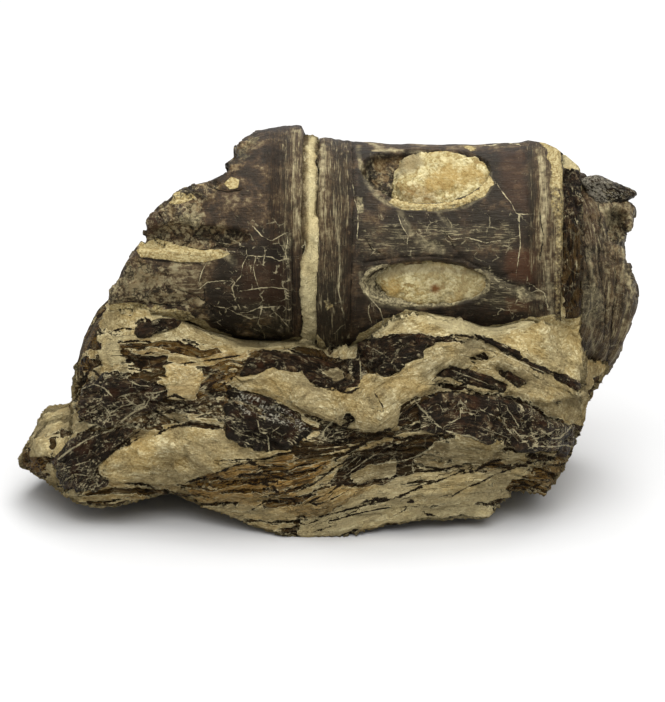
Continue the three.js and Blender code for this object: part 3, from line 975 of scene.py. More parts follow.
def bone_colour(shader: Shader, bed: Wire, width: float, shade: float = 0.0) -> tuple[Wire, Wire]:
    """Dark bone with coarse and fine threads along it; its tone follows their height, so the grooves carry
    painted shade and the ridges are lighter, partly wear and partly a painted highlight.

    Args:
        shader: The material's nodes.
        bed: Places along and across the bone.
        width: How wide the coarse threads are, in millimetres.
        shade: How much darker it is.

    Returns:
        The colour, and the threads' height.
    """
    coarse = shader.fibres(bed, width * 9, width)
    fine = shader.fibres(bed, width * 4, width * 0.36)
    shard = shader.shards(shader.drawn_out(bed, 2.2), width * 4)["Tone"]
    chip = shader.shards(shader.drawn_out(bed, 1.6), width * 1.8)["Tone"]
    crinkle = shader.noise(shader.drawn_out(bed, 1.8), 1.5, 6.0, 0.75)
    height = coarse * 0.4 + fine * 0.4 + chip * 0.25
    # the tone follows the threads' height: painted shade in the grooves, painted highlight on the ridges
    tone = height * 0.75 + shard * 0.3 - shade + (crinkle - 0.5) * 1.3
    body = shader.ramp(tone, (0.42, TONES.deep), (0.6, TONES.dark), (0.77, TONES.brown), (0.95, TONES.worn_and_lit))
    flecks = height.within(0.62, 0.76) * shader.noise(bed, 0.5, 5.0, 0.65).within(0.5, 0.6)
    return shader.blend(flecks, body, TONES.vein), tone


@dataclass(frozen=True)
class VertebraFinish:
    """Smooth dark bone: faint threads along the body, finer ones round the rims, dust in the hollows."""

    name: str = "vertebra_bone"
    roughness: float = 0.42

    def threads(self, shader: Shader, rim: Wire) -> tuple[Wire, Wire]:
        """Threads along the body that turn to run round it at the rims.

        Args:
            shader: The material's nodes.
            rim: How much of a rim each point is.

        Returns:
            The coarse threads and the fine ones.
        """
        bed = shader.bed()
        parts = shader.add("SeparateXYZ", None, bed)
        round_it = shader.wire("CombineXYZ", None, parts[1], parts[0], parts[2])
        layers = []
        for length, width in ((3.6, 0.32), (1.3, 0.14)):
            along = shader.fibres(bed, length, width)
            hoops = shader.fibres(round_it, length * 1.6, width)
            layers.append(along + (hoops - along) * rim)
        return layers[0], layers[1]

    def material(self) -> bpy.types.Material:
        """Makes the material.

        Returns:
            The material.
        """
        shader = Dressing(self.name, self.roughness, 0.3)
        place, rim, broken = shader.place(), shader.attribute("rim"), shader.attribute("broken")
        coarse, fine = self.threads(shader, rim)
        height = coarse * 0.5 + fine * 0.5
        clouds = shader.noise(place, 0.28, 7.0, 0.66)
        cloud = clouds.within(0.3, 0.7)
        mottle = shader.noise(place, 1.3, 5.0, 0.72)
        shard = shader.shards(place, 1.0, 0.16)
        facet = (shard["Tone"] - 0.5) * broken * 0.4
        whole = 1.0 - broken * (1.0 - rim) * 0.8
        weight = rim.within(0.0, 1.0, 0.16, 0.6) * whole
        # where the threads show, the tone follows their height, so their grooves are darker and their ridges
        # lighter, up to the film's colour: painted shade and painted highlight
        tone = cloud + (height - cloud) * weight
        tone = tone + (mottle - 0.5) * broken.within(0.0, 1.0, 0.9, 2.6) + facet + shader.attribute("tone")
        streaks = shader.ragged("grey", place, Size=1.0, Reach=1.6, Softness=0.3)["Mask"]
        lines = streaks * height.within(0.6, 0.78, 0.05, 0.85) * whole
        flakes = streaks * mottle.within(0.5, 0.62, 0.0, 0.8) * broken
        smear = shader.attribute("smear") * shader.noise(place, 0.9, 5.0, 0.7).within(0.36, 0.62, 0.15, 0.85)
        dust = shader.ragged("dust", place, Size=1.1, Reach=1.3, Softness=0.22)["Mask"]
        chalky = shader.ragged("chalky", place, Size=0.7, Reach=0.7, Softness=0.1)["Mask"]
        crumb = shader.crumb(place, 0.3)
        cracks = shader.shards(place, 3.0, 0.14)["Line"] * shader.attribute("network")
        vein = cracks.or_more(shader.hairline("vein", place))
        gaps = shard["Line"] * (broken * 0.9)
        fissure = shader.hairline("fissure", place)
        body = ((0.14, TONES.deep), (0.44, TONES.dark), (0.7, TONES.brown), (0.88, TONES.worn_and_lit))
        smooth = ((0.2, TONES.grey), (0.6, TONES.film), (1.0, TONES.dust))
        dusty = ((0.05, TONES.grey), (0.5, TONES.film), (0.9, TONES.dust))
        cream = ((0.05, TONES.dull_chalk), (0.5, TONES.chalk), (0.9, TONES.bright_chalk))
        colour = shader.coats(
            shader.ramp(tone, *body, (1.0, TONES.film)),
            (shader.attribute("red") * height.within(0.0, 0.8, 0.5, 1.0), TONES.red),
            (lines.or_more(flakes), TONES.film),
            (clouds.within(0.5, 0.62) * (broken * 0.5), TONES.tan),
            (smear, shader.ramp(tone, *smooth)),
            (dust * 0.9, shader.ramp(crumb["Tone"], *dusty)),
            (chalky, shader.ramp(crumb["Tone"], *cream)),
            (vein, TONES.vein),
            (gaps, TONES.deep),
            (abs(mottle - 0.5).within(0.0, 0.012, 0.4, 0.0) * clouds.within(0.5, 0.6), TONES.film),
            (crumb["Speck"] * 0.45, TONES.film),
            (fissure, TONES.deep),
        )
        matt = dust.or_more(chalky).or_more(smear * 0.6)
        rough = matt.within(0.0, 1.0, self.roughness, 0.92) + clouds * 0.12
        ridges = height * rim.within(0.0, 1.0, 0.45, 1.0) * (1.0 - smear * 0.8)
        uneven = crumb["Height"] * matt + clouds + facet + (vein - (fissure + gaps)) * 0.5
        relief = shader.bump(uneven, 0.28, shader.bump(ridges, 0.32))
        return shader.end(Base_Color=colour, Roughness=rough, Normal=relief)


@dataclass(frozen=True)
class ChalkFinish:
    """Tan chalk with grains and specks, and the dark, ochre and grey beds that run through it."""

    name: str = "chalk"
    shade: tuple = paint(96, 80, 48)
    body: tuple = paint(146, 129, 88)
    bright: tuple = paint(170, 154, 110)
    light: tuple = paint(216, 203, 160)
    honey: tuple = paint(166, 140, 84)
    pale: tuple = paint(196, 184, 142)
    speck: tuple = paint(36, 26, 15)
    ochre: tuple = paint(98, 68, 28)
    umber: tuple = paint(36, 23, 10)
    amber: tuple = paint(146, 110, 52)
    grey: tuple = paint(132, 122, 93)
    soot: tuple = paint(24, 17, 11)
    cinder: tuple = paint(58, 47, 34)
    ash: tuple = paint(88, 77, 56)
    pale_ash: tuple = paint(138, 126, 96)

    def stone(self, shader: Shader, tone: Wire, speck: Wire) -> Wire:
        """The colour of the chalk itself.

        Args:
            shader: The material's nodes.
            tone: How light its grains are.
            speck: Where its specks are.

        Returns:
            The colour.
        """
        patches = shader.noise(shader.place(), 0.16, 5.0, 0.6)
        return shader.coats(
            shader.ramp(tone, (0.16, self.shade), (0.4, self.body), (0.6, self.bright), (0.82, self.light)),
            (patches.within(0.4, 0.62, 0.0, 0.45), self.grey),
            (patches.within(0.5, 0.36, 0.0, 0.35), self.honey),
            # pale chalk, which along the ledge's top edge and the bottom edge is partly painted light
            (shader.attribute("pale") * 0.6, self.pale),
            (speck * 0.8, self.speck),
        )

    def material(self) -> bpy.types.Material:
        """Makes the material.

        Returns:
            The material.
        """
        shader = Dressing(self.name, 0.9, 0.12)
        place, bed = shader.place(), shader.bed()
        splinters = shader.drawn_out(bed)
        crumb = shader.crumb(place, 0.3)
        broad = shader.noise(splinters, 0.7, 5.0, 0.6)
        tone = crumb["Tone"] * 0.3 + shader.fibres(bed, 1.5, 0.2) * 0.32 + broad.within(0.3, 0.7) * 0.38
        shards = shader.shards(splinters, 1.3, 0.1)
        streaks = shader.fibres(bed, 4.0, 0.5) * 0.4 + shader.fibres(bed, 2.0, 0.2) * 0.32
        streaks = streaks + shards["Tone"] * 0.28
        ochre = shader.attribute("ochre")
        rusty = ((0.2, self.umber), (0.45, self.ochre), (0.62, self.amber), (0.8, self.body))
        warm = shader.ramp(streaks, *rusty)
        ashen = ((0.2, self.soot), (0.5, self.cinder), (0.66, self.ash), (0.85, self.pale_ash))
        cracks = shader.shards(place, 2.6, 0.15)["Line"].or_more(shards["Line"] * 0.8)
        plain, height = bone_colour(shader, bed, 0.42)
        dark = shader.coats(
            plain,
            (ochre * streaks.within(0.4, 0.6, 0.1, 0.85), warm),
            (shader.film(splinters, place, 0.1), TONES.vein),
            (cracks * shader.attribute("network"), TONES.vein),
        )
        edged = shader.ragged("bone", splinters, Size=0.34, Reach=0.6, Softness=0.03)
        split = shader.hairline("splinter", place)
        colour = shader.coats(
            self.stone(shader, tone, crumb["Speck"]),
            (ochre * 0.9, warm),
            (shader.attribute("grey") * 0.9, shader.ramp(streaks, *ashen)),
            # a painted highlight on the chalk along the edges of the bone
            (edged["Rim"] * 0.45, self.light),
            (edged["Mask"], dark),
            (split, self.speck),
            (shader.hairline("thread", place), TONES.vein),
        )
        bone = edged["Mask"].or_more(split)
        bare = 1.0 - bone
        steps = shader.shards(splinters, 2.1)["Tone"] * 0.5 + broad * 1.2
        relief = shader.bump(bare + steps, 0.5)
        # the grains' tone also sets their height, so the darker grains lie lower: painted shade in the
        # hollows of the grain
        relief = shader.bump((crumb["Height"] + tone) * bare * 0.5, 0.6, relief)
        relief = shader.bump(height * bone, 0.8, relief)
        return shader.end(Base_Color=colour, Roughness=bone.within(0.0, 1.0, 0.93, 0.5), Normal=relief)


@dataclass(frozen=True)
class PitChalkFinish:
    """Bright sugary chalk, with a few rusty grains."""

    name: str = "pit_chalk"
    shade: tuple = paint(120, 100, 60)
    body: tuple = paint(148, 134, 90)
    light: tuple = paint(186, 175, 134)
    rust: tuple = paint(142, 114, 58)
    murk: tuple = paint(112, 102, 76)
    deep_rust: tuple = paint(92, 58, 26)

    def material(self) -> bpy.types.Material:
        """Makes the material.

        Returns:
            The material.
        """
        shader = Dressing(self.name, 0.85, 0.35)
        place = shader.place()
        crumb = shader.crumb(place, 0.4)
        bits = shader.shards(place, 1.2, 0.1)
        tone = crumb["Tone"] * 0.5 + bits["Tone"] * 0.5
        colour = shader.coats(
            shader.ramp(tone, (0.1, self.shade), (0.45, self.body), (0.85, self.light)),
            (bits["Line"] * 0.3, self.rust),
            (shader.noise(place, 0.22, 4.0, 0.55).within(0.46, 0.62, 0.0, 0.55), self.rust),
            (shader.attribute("grey"), self.murk),
            (shader.attribute("rust"), self.deep_rust),
        )
        relief = shader.bump(crumb["Height"], 0.3, shader.bump(bits["Tone"], 0.3))
        return shader.end(Base_Color=colour, Normal=relief)


@dataclass(frozen=True)
class ScrapFinish:
    """Splintered bone in the beds: darker and glossier than the vertebrae, crossed by pale veins."""

    name: str = "scrap_bone"
    thread: float = 0.34
    stretch: float = 3.0
    shade: float = 0.0
    fill: float = 0.1  # how much film lies between its thick spots
    glint: tuple = TONES.vein

    def material(self) -> bpy.types.Material:
        """Makes the material.

        Returns:
            The material.
        """
        shader = Dressing(self.name, 0.5, 0.2)
        place, bed = shader.place(), shader.bed()
        plain, height = bone_colour(shader, bed, self.thread, self.shade)
        film = shader.film(shader.drawn_out(bed, self.stretch), place, self.fill)
        cracks = shader.shards(place, 2.2, 0.14)["Line"] * shader.attribute("network")
        vein = cracks.or_more(shader.hairline("thread", place))
        colour = shader.coats(
            plain,
            (shader.noise(place, 0.3, 3.0).within(0.52, 0.7, 0.0, 0.5), TONES.red),
            (film, self.glint),
            (vein, TONES.vein),
            (shader.hairline("splinter", place), TONES.deep),
        )
        relief = shader.bump(height - vein * 0.5, 0.8)
        return shader.end(Base_Color=colour, Roughness=film.within(0.0, 1.0, 0.42, 0.75), Normal=relief)


# Pieces
# The face of the chalk, in the order in which its parts lie over each other.
CHALK_PATCHES: tuple[Patch, ...] = (
    # the lobe at the left end, its brown tip and its pale nodules
    Patch((15, 480, 30, 400, 80, 400, 92, 430, 80, 500, 40, 500), 0.26, 0.2, 0.3, 0.6, 0.4, pale=0.5),
    Patch((18, 461, 30, 446, 45, 452, 46, 472, 30, 474), 0.9, 0.7, 0.2, 0.3, 0.2),
    Patch((46, 428, 48, 414, 64, 415, 62, 426, 52, 434), -0.2, 0.1, 0, pale=0.4, rise=0.6, ragged=3),
    Patch((34, 456, 38, 440, 50, 440, 51, 456), -0.2, 0.1, 0, pale=0.3, rise=0.5, ragged=3),
    Patch((53, 459, 56, 438, 68, 438, 80, 443, 66, 454), -0.1, 0.1, 0.1, rise=0.5, ragged=4),
    Patch((60, 436, 62, 431, 68, 433, 67, 437), 0.95, 0.3, 0, ragged=1),
    # rind along the upper left edge and the chalk inside it
    Patch((74, 382, 82, 340, 104, 300, 140, 300, 105, 330, 92, 378, 80, 410, 70, 410), 0.72, 0.45, 0.3, 0.3),
    Patch((96, 350, 101, 308, 185, 311, 212, 330, 243, 345, 262, 344, 240, 362, 205, 366, 160, 352, 118, 357),
           0.06, 0.05, 0.05, ragged=5),
    Patch((138, 334, 150, 325, 163, 319, 182, 322, 179, 328, 163, 330, 160, 335, 145, 336), 0.95, ragged=3),
    Patch((100, 348, 118, 338, 160, 341, 214, 350, 240, 352, 214, 362, 165, 354, 118, 360), 0.55, 0.5,
           ragged=6),
    Patch((86, 372, 90, 344, 106, 345, 104, 370), 0.6, 0.2, 0.3, 0.5),
    # bone and pale patch under it, left
    Patch((78, 408, 82, 384, 95, 373, 122, 372, 150, 377, 168, 392, 166, 408, 142, 416, 112, 430, 88, 432),
           0.95, 0.1, 0.2, 0.5, 1),
    Patch((166, 366, 192, 362, 210, 372, 206, 390, 190, 399, 168, 398), 0.04, 0.3, 0, rise=0.3, ragged=4),
    Patch((206, 372, 230, 352, 271, 345, 273, 366, 240, 376, 228, 390, 212, 400, 196, 402), 0.66, 0.6, 0.2,
           ragged=5),
    Patch((140, 420, 165, 402, 196, 400, 228, 392, 232, 432, 200, 428, 165, 426), 0.6, 0.2, 0.5, 0.8, 0.4),
    # band of bone above the raised plate, with a pale flake at its right end
    Patch((240, 366, 262, 344, 274, 341, 300, 345, 328, 356, 362, 359, 373, 362, 370, 380, 358, 389, 343, 392,
           318, 388, 303, 374, 271, 369, 240, 378), 0.93, 0.25, 0.1, 0.3, 0.2, ragged=4),
    Patch((306, 358, 342, 368, 346, 388, 322, 389, 316, 376, 296, 364), 0.25, 0.1, 0.5, ragged=5),
    Patch((356, 356, 358, 340, 366, 337, 452, 336, 452, 341, 422, 346, 420, 353, 404, 361, 397, 371, 386, 377,
           371, 372), 0.97, 0, 0.2, 0.4, 0.3, ragged=3),
    # the ledge under the middle vertebra
    Patch((286, 343, 302, 320, 330, 350, 350, 320, 560, 300, 583, 330, 584, 384, 563, 376, 532, 361, 516, 354,
           487, 338, 452, 335, 366, 336, 357, 341, 352, 356, 326, 353), -0.1, 0, 0, ragged=3),
    # a paler band along the ledge's top edge, in the middle and at the left: a painted highlight on the lit
    # edge, over the shade where the chalk meets the vertebrae
    Patch((326, 356, 340, 336, 368, 318, 407, 302, 450, 308, 475, 320, 520, 312, 583, 304, 583, 320, 540, 324,
           500, 334, 474, 338, 440, 326, 407, 322, 380, 334, 352, 350), pale=0.6, ragged=3),
    Patch((98, 312, 108, 300, 185, 302, 241, 334, 300, 332, 302, 346, 271, 350, 238, 352, 205, 330, 185, 320,
           110, 317), -0.2, 0, 0.1, pale=0.5, ragged=3),
    # the chalk between the vertebrae's rims, and at the right one's top
    Patch((303, 115, 319, 115, 320, 346, 300, 346), -0.5, 0, 0, pale=0.9, rise=0.3, ragged=1),
    Patch((292, 115, 309, 115, 308.5, 190, 307.5, 236, 304, 262, 301, 340, 292, 340), 0.3, 0.1, 1, 0.2, 0.2,
           pale=0, rise=0.5, ragged=2),
    Patch((315, 130, 328, 130, 328, 330, 318, 330, 318, 240, 315, 200), 0.3, 0.1, 1, 0.2, 0.2, pale=0,
           ragged=2),
    Patch((540, 130, 592, 150, 592, 316, 540, 316), -0.5, 0, 0, pale=0.5, ragged=1),
    Patch((560, 182, 566, 173, 578, 172, 592, 174, 592, 230, 562, 230), 1.1, 0, 0.4, 0.45, 0.3, pale=0,
           ragged=3),
    Patch((544, 130, 600, 150, 600, 170, 580, 172, 564, 170, 556, 182, 544, 170), -0.5, 0, 0, pale=0.8,
           ragged=3),
    Patch((562, 226, 592, 224, 592, 318, 564, 318), 1.1, 0.2, 0.4, 0.2, 0.2, pale=0, ragged=4),
    # the raised plate
    Patch((230, 382, 240, 374, 263, 370, 293, 369, 316, 380, 323, 390, 346, 393, 360, 388, 371, 375, 386, 378,
           399, 371, 406, 360, 424, 345, 452, 342, 474, 338, 500, 352, 532, 368, 583, 390, 586, 400, 560, 408,
           503, 396, 440, 390, 414, 396, 404, 406, 396, 424, 375, 431, 356, 431, 336, 421, 318, 416, 296, 410,
           270, 398), -0.2, 0.05, 0.25, rise=1.2, ragged=3),
    Patch((398, 404, 436, 390, 500, 392, 540, 404, 584, 396, 584, 424, 556, 420, 547, 424, 536, 413, 509, 404,
           440, 400), 0.2, 0.1, 0.3, ragged=4),
    # splinters in the chalk, right
    Patch((468, 359, 474, 355, 486, 353, 491, 358, 486, 364, 476, 366), 0.85, ragged=3),
    Patch((435, 375, 440, 367, 450, 365, 470, 373, 500, 384, 503, 388, 492, 388, 474, 381, 456, 377, 444,
           379), 0.7, ragged=3),
    Patch((434, 383, 462, 384, 500, 398, 516, 404, 500, 404, 462, 396, 436, 394), 0.4, ragged=4),
    Patch((458, 341, 478, 338, 500, 350, 484, 352, 464, 348), -0.1, 0, 0.6, pale=0.3, ragged=3),
    # the dark lens and the dark mass
    Patch((226, 388, 247, 391, 271, 398, 297, 411, 314, 431, 298, 442, 286, 449, 263, 450, 240, 440, 224,
           430), 0.97, 0.2, 0.1, 0.8, 0.5, ragged=4),
    Patch((397, 428, 400, 406, 414, 396, 436, 393, 470, 396, 509, 404, 536, 413, 547, 424, 572, 425, 584, 425,
           583, 441, 573, 454, 540, 449, 506, 440, 484, 441, 450, 433, 420, 430), 0.93, 0.15, 0.1, 0.5, 0.8,
           ragged=4),
    # the chalk lens at the lower left and the band of grey bone round it
    Patch((50, 462, 80, 434, 90, 428, 112, 427, 140, 409, 152, 405, 165, 425, 120, 445, 103, 462, 95, 472,
           112, 481, 98, 492, 80, 492, 60, 480), 0.7, 0.2, 0.8, 0.9, 0.3),
    Patch((95, 472, 104, 461, 117, 450, 139, 440, 160, 432, 196, 427, 222, 430, 242, 440, 262, 448, 290, 450,
           262, 457, 240, 463, 216, 474, 184, 484, 115, 482), -0.1, 0.12, 0, rise=0.4, ragged=3),
    Patch((112, 483, 184, 484, 204, 494, 176, 498, 120, 504, 92, 512, 84, 494), 0.4, 0.35, 0.3),
    # the swirling beds below
    Patch((184, 484, 216, 473, 243, 463, 262, 463, 284, 480, 300, 500, 240, 500, 200, 500), 0.36, 0.9, 0.1,
           ragged=5),
    Patch((262, 464, 290, 452, 336, 436, 352, 436, 330, 462, 310, 484, 286, 490), 0.35, 1, 0.1, ragged=5),
    Patch((196, 498, 300, 498, 340, 484, 372, 474, 396, 480, 352, 500, 300, 530, 240, 524), 0.34, 0.6, 0.2,
           ragged=6),
    Patch((288, 452, 316, 440, 352, 431, 389, 429, 396, 438, 352, 446, 310, 462), 0.85, 0.2, 0.2, 0.3,
           ragged=4),
    Patch((326, 484, 350, 456, 390, 442, 440, 435, 458, 446, 450, 460, 430, 472, 400, 480, 366, 488), 0.86,
           0.1, 0.8, 0.45, 0.5, ragged=5),
    Patch((396, 446, 420, 438, 438, 440, 430, 450, 404, 456), 0.97, 0.3, 0, 0.2, 0.3, ragged=3),
    Patch((386, 462, 396, 458, 398, 470, 390, 478, 384, 472), 0, 0, 0.5, ragged=2),
    Patch((350, 474, 372, 464, 396, 464, 396, 474, 356, 486), 0.1, 0, 0.6, ragged=4),
    Patch((334, 506, 337, 493, 364, 486, 410, 480, 400, 492, 364, 504), 0.06, 0.5, 0, ragged=4),
    # chalk with specks at the lower right
    Patch((438, 440, 484, 440, 512, 446, 508, 470, 470, 478, 430, 476, 412, 466), 0.12, 0.15, 0.6, ragged=5),
    Patch((396, 476, 440, 472, 508, 470, 564, 470, 556, 500, 510, 500, 484, 520, 404, 524, 300, 540, 340,
           508), 0.1, 0.15, 0.1, pale=0.5, ragged=5),
    Patch((506, 448, 540, 451, 574, 456, 564, 466, 520, 472, 500, 466), 0.5, 0.1, 0.5, 0.6, 0.3),
    Patch((446, 441, 470, 437, 506, 440, 504, 450, 490, 456, 472, 461, 452, 463), -0.1, 0, 0.35, rise=0.3,
           ragged=3),
    Patch((476, 472, 486, 462, 500, 457, 507, 461, 498, 467, 486, 475), 0.85, 0.7, 0.1, 0.3, ragged=3),
    Patch((506, 455, 520, 452, 531, 453, 526, 459, 508, 460), -0.2, 0, 0.3, pale=0.4, ragged=2),
    Patch((420, 484, 450, 478, 484, 478, 520, 468, 506, 480, 470, 492, 440, 492), -0.05, 0.1, 0, pale=0.3,
           ragged=4),
    Patch((504, 490, 524, 474, 560, 458, 570, 458, 566, 476, 552, 498, 524, 500), 0.6, 0.8, 0.4, ragged=5),
    # smaller pieces of the middle and the left
    Patch((318, 440, 321, 424, 332, 420, 348, 428, 346, 438, 330, 442), 0.8, 0, 0.2, 0.85, 0.2, ragged=3),
    Patch((342, 427, 347, 419, 353, 416, 359, 421, 350, 428), 0.8, 0, 0.2, 0.5, ragged=2),
    Patch((356, 482, 362, 468, 372, 464, 372, 474, 366, 480), -0.2, 0, 0.5, ragged=2),
    Patch((320, 362, 338, 364, 342, 376, 336, 382, 322, 380), 0.1, 0, 0.7, ragged=3),
    Patch((100, 352, 106, 342, 116, 340, 118, 352, 125, 362, 110, 367, 100, 360), -0.2, 0, 0.1, pale=0.5,
           ragged=4),
    Patch((96, 341, 104, 335, 142, 335, 136, 340, 110, 342), -0.2, 0, 0, pale=0.3, ragged=2),
    Patch((84, 374, 81, 344, 94, 322, 104, 300, 114, 290, 102, 312, 98, 334, 90, 352, 89, 374), 0.9, 0.5, 0.3,
           0.4, 0.2, ragged=3),
    Patch((88, 372, 98, 370, 112, 378, 124, 366, 128, 372, 118, 382, 106, 384), 0.1, 0, 0.6, ragged=3),
    Patch((98, 446, 80, 452, 60, 458, 60, 480, 84, 488, 110, 486, 98, 474), 0.6, 0, 0.8, 0.7, 0.3,
           ragged=4),
    # paler chalk along the bottom edge: partly its own colour, partly painted light over the shade that falls
    # low on the block by the floor
    Patch((300, 520, 360, 508, 410, 502, 460, 498, 500, 496, 484, 520, 404, 526, 300, 540), 0.04, 0.1, 0,
           pale=0.5, ragged=5),
    Patch((198, 500, 240, 506, 280, 508, 300, 516, 290, 536, 240, 524), 0.18, 0.3, 0.1, pale=0.4, ragged=5),
)


# Thin dark splinters and cracks in the face, and the pale threads that run over its bones
SPLINTERS: tuple[Line, ...] = (
    Line((180, 364, 200, 362, 222, 358, 240, 355), 1.3),
    Line((290, 350, 306, 356, 330, 358, 352, 360), 1.5),
    Line((296, 369, 306, 373, 318, 379), 1.3),
    Line((316, 384, 324, 383, 334, 382), 1.5),
    Line((316, 386, 326, 388, 336, 391, 350, 393, 356, 389), 1.8),
    Line((238, 390, 250, 392, 260, 395, 268, 399), 1.5),
    Line((377, 396, 379, 400, 383, 407), 1.1),
    Line((347, 452, 360, 445, 372, 438, 388, 430), 4.5),
    Line((386, 436, 400, 438, 412, 437), 2.0),
    Line((222, 460, 245, 459, 262, 459, 280, 455, 298, 450), 1.5),
    Line((262, 467, 272, 466, 286, 467), 1.4),
    Line((188, 482, 206, 477, 220, 472, 238, 464, 250, 462, 260, 466), 2.2),
    Line((296, 476, 306, 474, 314, 470, 326, 462, 338, 458), 1.6),
    Line((298, 491, 312, 484, 322, 478, 334, 468, 346, 461, 360, 455, 378, 447), 1.8),
    Line((306, 504, 318, 498, 330, 492, 344, 482, 352, 470), 1.7),
    Line((300, 500, 316, 505, 330, 500, 346, 492, 356, 484), 1.4),
    Line((318, 517, 340, 512, 356, 508, 372, 504, 388, 500), 1.8),
    Line((366, 502, 378, 499, 388, 499), 3.2),
    Line((330, 521, 350, 516, 372, 511, 390, 508), 1.2),
    Line((400, 496, 410, 492, 421, 487), 2.6),
    Line((407, 503, 413, 502), 3.0),
    Line((398, 514, 405, 510), 1.7),
    Line((427, 514, 434, 516), 2.0),
    Line((440, 497, 451, 494), 1.8),
    Line((294, 521, 306, 525, 318, 520), 1.4),
    Line((320, 530, 332, 526), 2.2),
    Line((252, 510, 262, 504, 272, 498, 280, 494), 1.6),
    Line((264, 484, 272, 486, 277, 492), 3.2),
    Line((240, 476, 256, 474, 270, 476, 286, 479), 2.4),
    Line((226, 486, 240, 482, 256, 485, 266, 480), 1.6),
    Line((100, 334, 112, 331, 124, 328, 136, 330, 146, 326), 1.4),
    Line((118, 343, 132, 341, 150, 342), 1.5),
    Line((122, 348, 134, 347, 146, 345), 1.3),
    Line((122, 356, 136, 356, 148, 353, 158, 352), 1.7),
    Line((88, 368, 96, 373, 104, 380, 112, 384, 122, 391), 2.0),
    Line((128, 368, 140, 370, 152, 372, 164, 376), 1.5),
    Line((160, 433, 170, 428, 184, 425, 200, 424, 218, 427), 2.6),
    Line((168, 412, 180, 408, 190, 404), 3.0),
    Line((194, 406, 208, 402), 2.4),
    Line((164, 399, 174, 395, 184, 398), 2.0),
    Line((206, 390, 216, 390, 224, 385, 232, 378), 2.4),
    Line((100, 462, 112, 452, 124, 446, 136, 440), 2.0),
    Line((60, 462, 80, 462, 100, 456, 120, 445, 140, 430, 152, 418), 1.6),
    Line((172, 492, 184, 496, 198, 494), 1.6),
    Line((366, 340, 400, 338, 436, 339, 464, 342), 2.2),
    Line((456, 335, 470, 337, 478, 340), 1.8),
    Line((476, 336, 500, 347, 520, 358), 2.4),
    Line((520, 358, 545, 369, 566, 378, 584, 384), 1.8),
    Line((450, 366, 466, 372, 484, 378, 503, 384), 2.2),
    Line((436, 377, 444, 369, 452, 367), 2.0),
    Line((436, 385, 448, 386, 460, 386, 474, 391, 486, 397), 1.8),
    Line((437, 393, 460, 392, 484, 398, 500, 401, 516, 408), 1.8),
    Line((472, 358, 480, 360, 490, 358), 2.4),
    Line((572, 383, 580, 384, 580, 389), 2.0),
    Line((462, 474, 478, 470, 490, 462, 504, 459), 2.6),
    Line((452, 496, 466, 488, 482, 482, 498, 473, 520, 466, 540, 460), 1.4),
    Line((420, 486, 440, 480, 460, 472, 472, 466), 1.6),
    Line((424, 472, 440, 470, 456, 466, 466, 467), 2.0),
    Line((508, 446, 516, 452, 530, 450), 2.4),
    Line((530, 456, 545, 452, 562, 452, 574, 456), 1.8),
    Line((512, 488, 522, 484, 532, 487, 546, 482), 2.4),
)
THREADS: tuple[Line, ...] = (
    Line((58, 459, 70, 450, 80, 444, 94, 436, 112, 430), 1.8),
    Line((112, 430, 120, 422, 134, 412, 142, 408), 1.8),
    Line((122, 396, 132, 393, 142, 394, 150, 398, 146, 406, 136, 410), 1.2),
    Line((124, 396, 130, 402, 138, 406, 142, 404), 1.1),
    Line((142, 394, 156, 393, 163, 391), 1.1),
    Line((112, 412, 122, 406, 132, 404), 1.0),
    Line((132, 382, 140, 386, 148, 386), 1.0),
    Line((82, 407, 92, 407, 98, 404), 1.6),
    Line((94, 412, 104, 406, 110, 414, 104, 424), 1.0),
    Line((84, 388, 94, 384, 104, 388, 112, 396), 1.1),
    Line((258, 422, 260, 432, 268, 436, 269, 450), 1.2),
    Line((262, 433, 272, 432, 278, 428), 1.0),
    Line((232, 428, 240, 434, 248, 436), 0.9),
    Line((416, 402, 422, 410, 430, 418, 436, 424, 444, 430, 456, 434, 470, 436, 478, 440), 1.5),
    Line((424, 411, 430, 415, 432, 421), 2.2),
    Line((444, 427, 452, 422, 460, 418, 461, 411), 1.1),
    Line((482, 410, 490, 414, 497, 417), 1.3),
    Line((465, 412, 472, 414), 2.0),
    Line((508, 410, 514, 418, 518, 425), 1.1),
    Line((406, 428, 414, 430, 426, 426), 1.2),
    Line((508, 429, 514, 436, 520, 443, 530, 440, 544, 436, 556, 430), 1.5),
    Line((514, 430, 520, 436, 530, 436, 542, 430), 1.2),
    Line((544, 432, 552, 438, 560, 438, 570, 428), 1.6),
    Line((538, 446, 552, 447, 566, 445, 576, 448), 1.6),
    Line((486, 430, 500, 434, 508, 438), 1.0),
    Line((378, 464, 392, 462, 406, 460, 418, 456, 428, 450, 436, 444), 1.4),
    Line((412, 462, 413, 472), 1.1),
    Line((352, 470, 366, 460, 380, 452, 392, 446), 1.2),
    Line((340, 458, 352, 452, 364, 446), 1.0),
    Line((326, 476, 336, 470, 346, 466, 356, 458), 1.2),
    Line((320, 440, 326, 428, 332, 422), 1.4),
    Line((330, 437, 337, 432, 345, 431), 1.1),
    Line((368, 346, 378, 351, 386, 356), 1.1),
    Line((360, 362, 361, 376), 0.9),
    Line((452, 370, 470, 377, 486, 383), 0.9),
    Line((498, 352, 520, 362, 544, 372), 0.8),
    Line((60, 470, 72, 466, 86, 462), 1.2),
    Line((66, 480, 74, 474, 90, 476), 1.0),
)


def draw_lines(surface: Surface, spots: np.ndarray) -> None:
    """Keeps the splinters and threads with a piece of the face.

    Args:
        surface: The piece's mesh.
        spots: Where its points lie in the picture, give or take some unevenness.
    """
    away = surface.facing() < 0.1
    for name, strokes in (("splinter", SPLINTERS), ("thread", THREADS)):
        surface.write(name, np.where(away, FAR, line_distance(strokes, spots)))


# What the chalk at the right end slopes down along
CHALK_TOP = (545, 100, 556, 149, 562, 152, 583, 170, 600, 178)
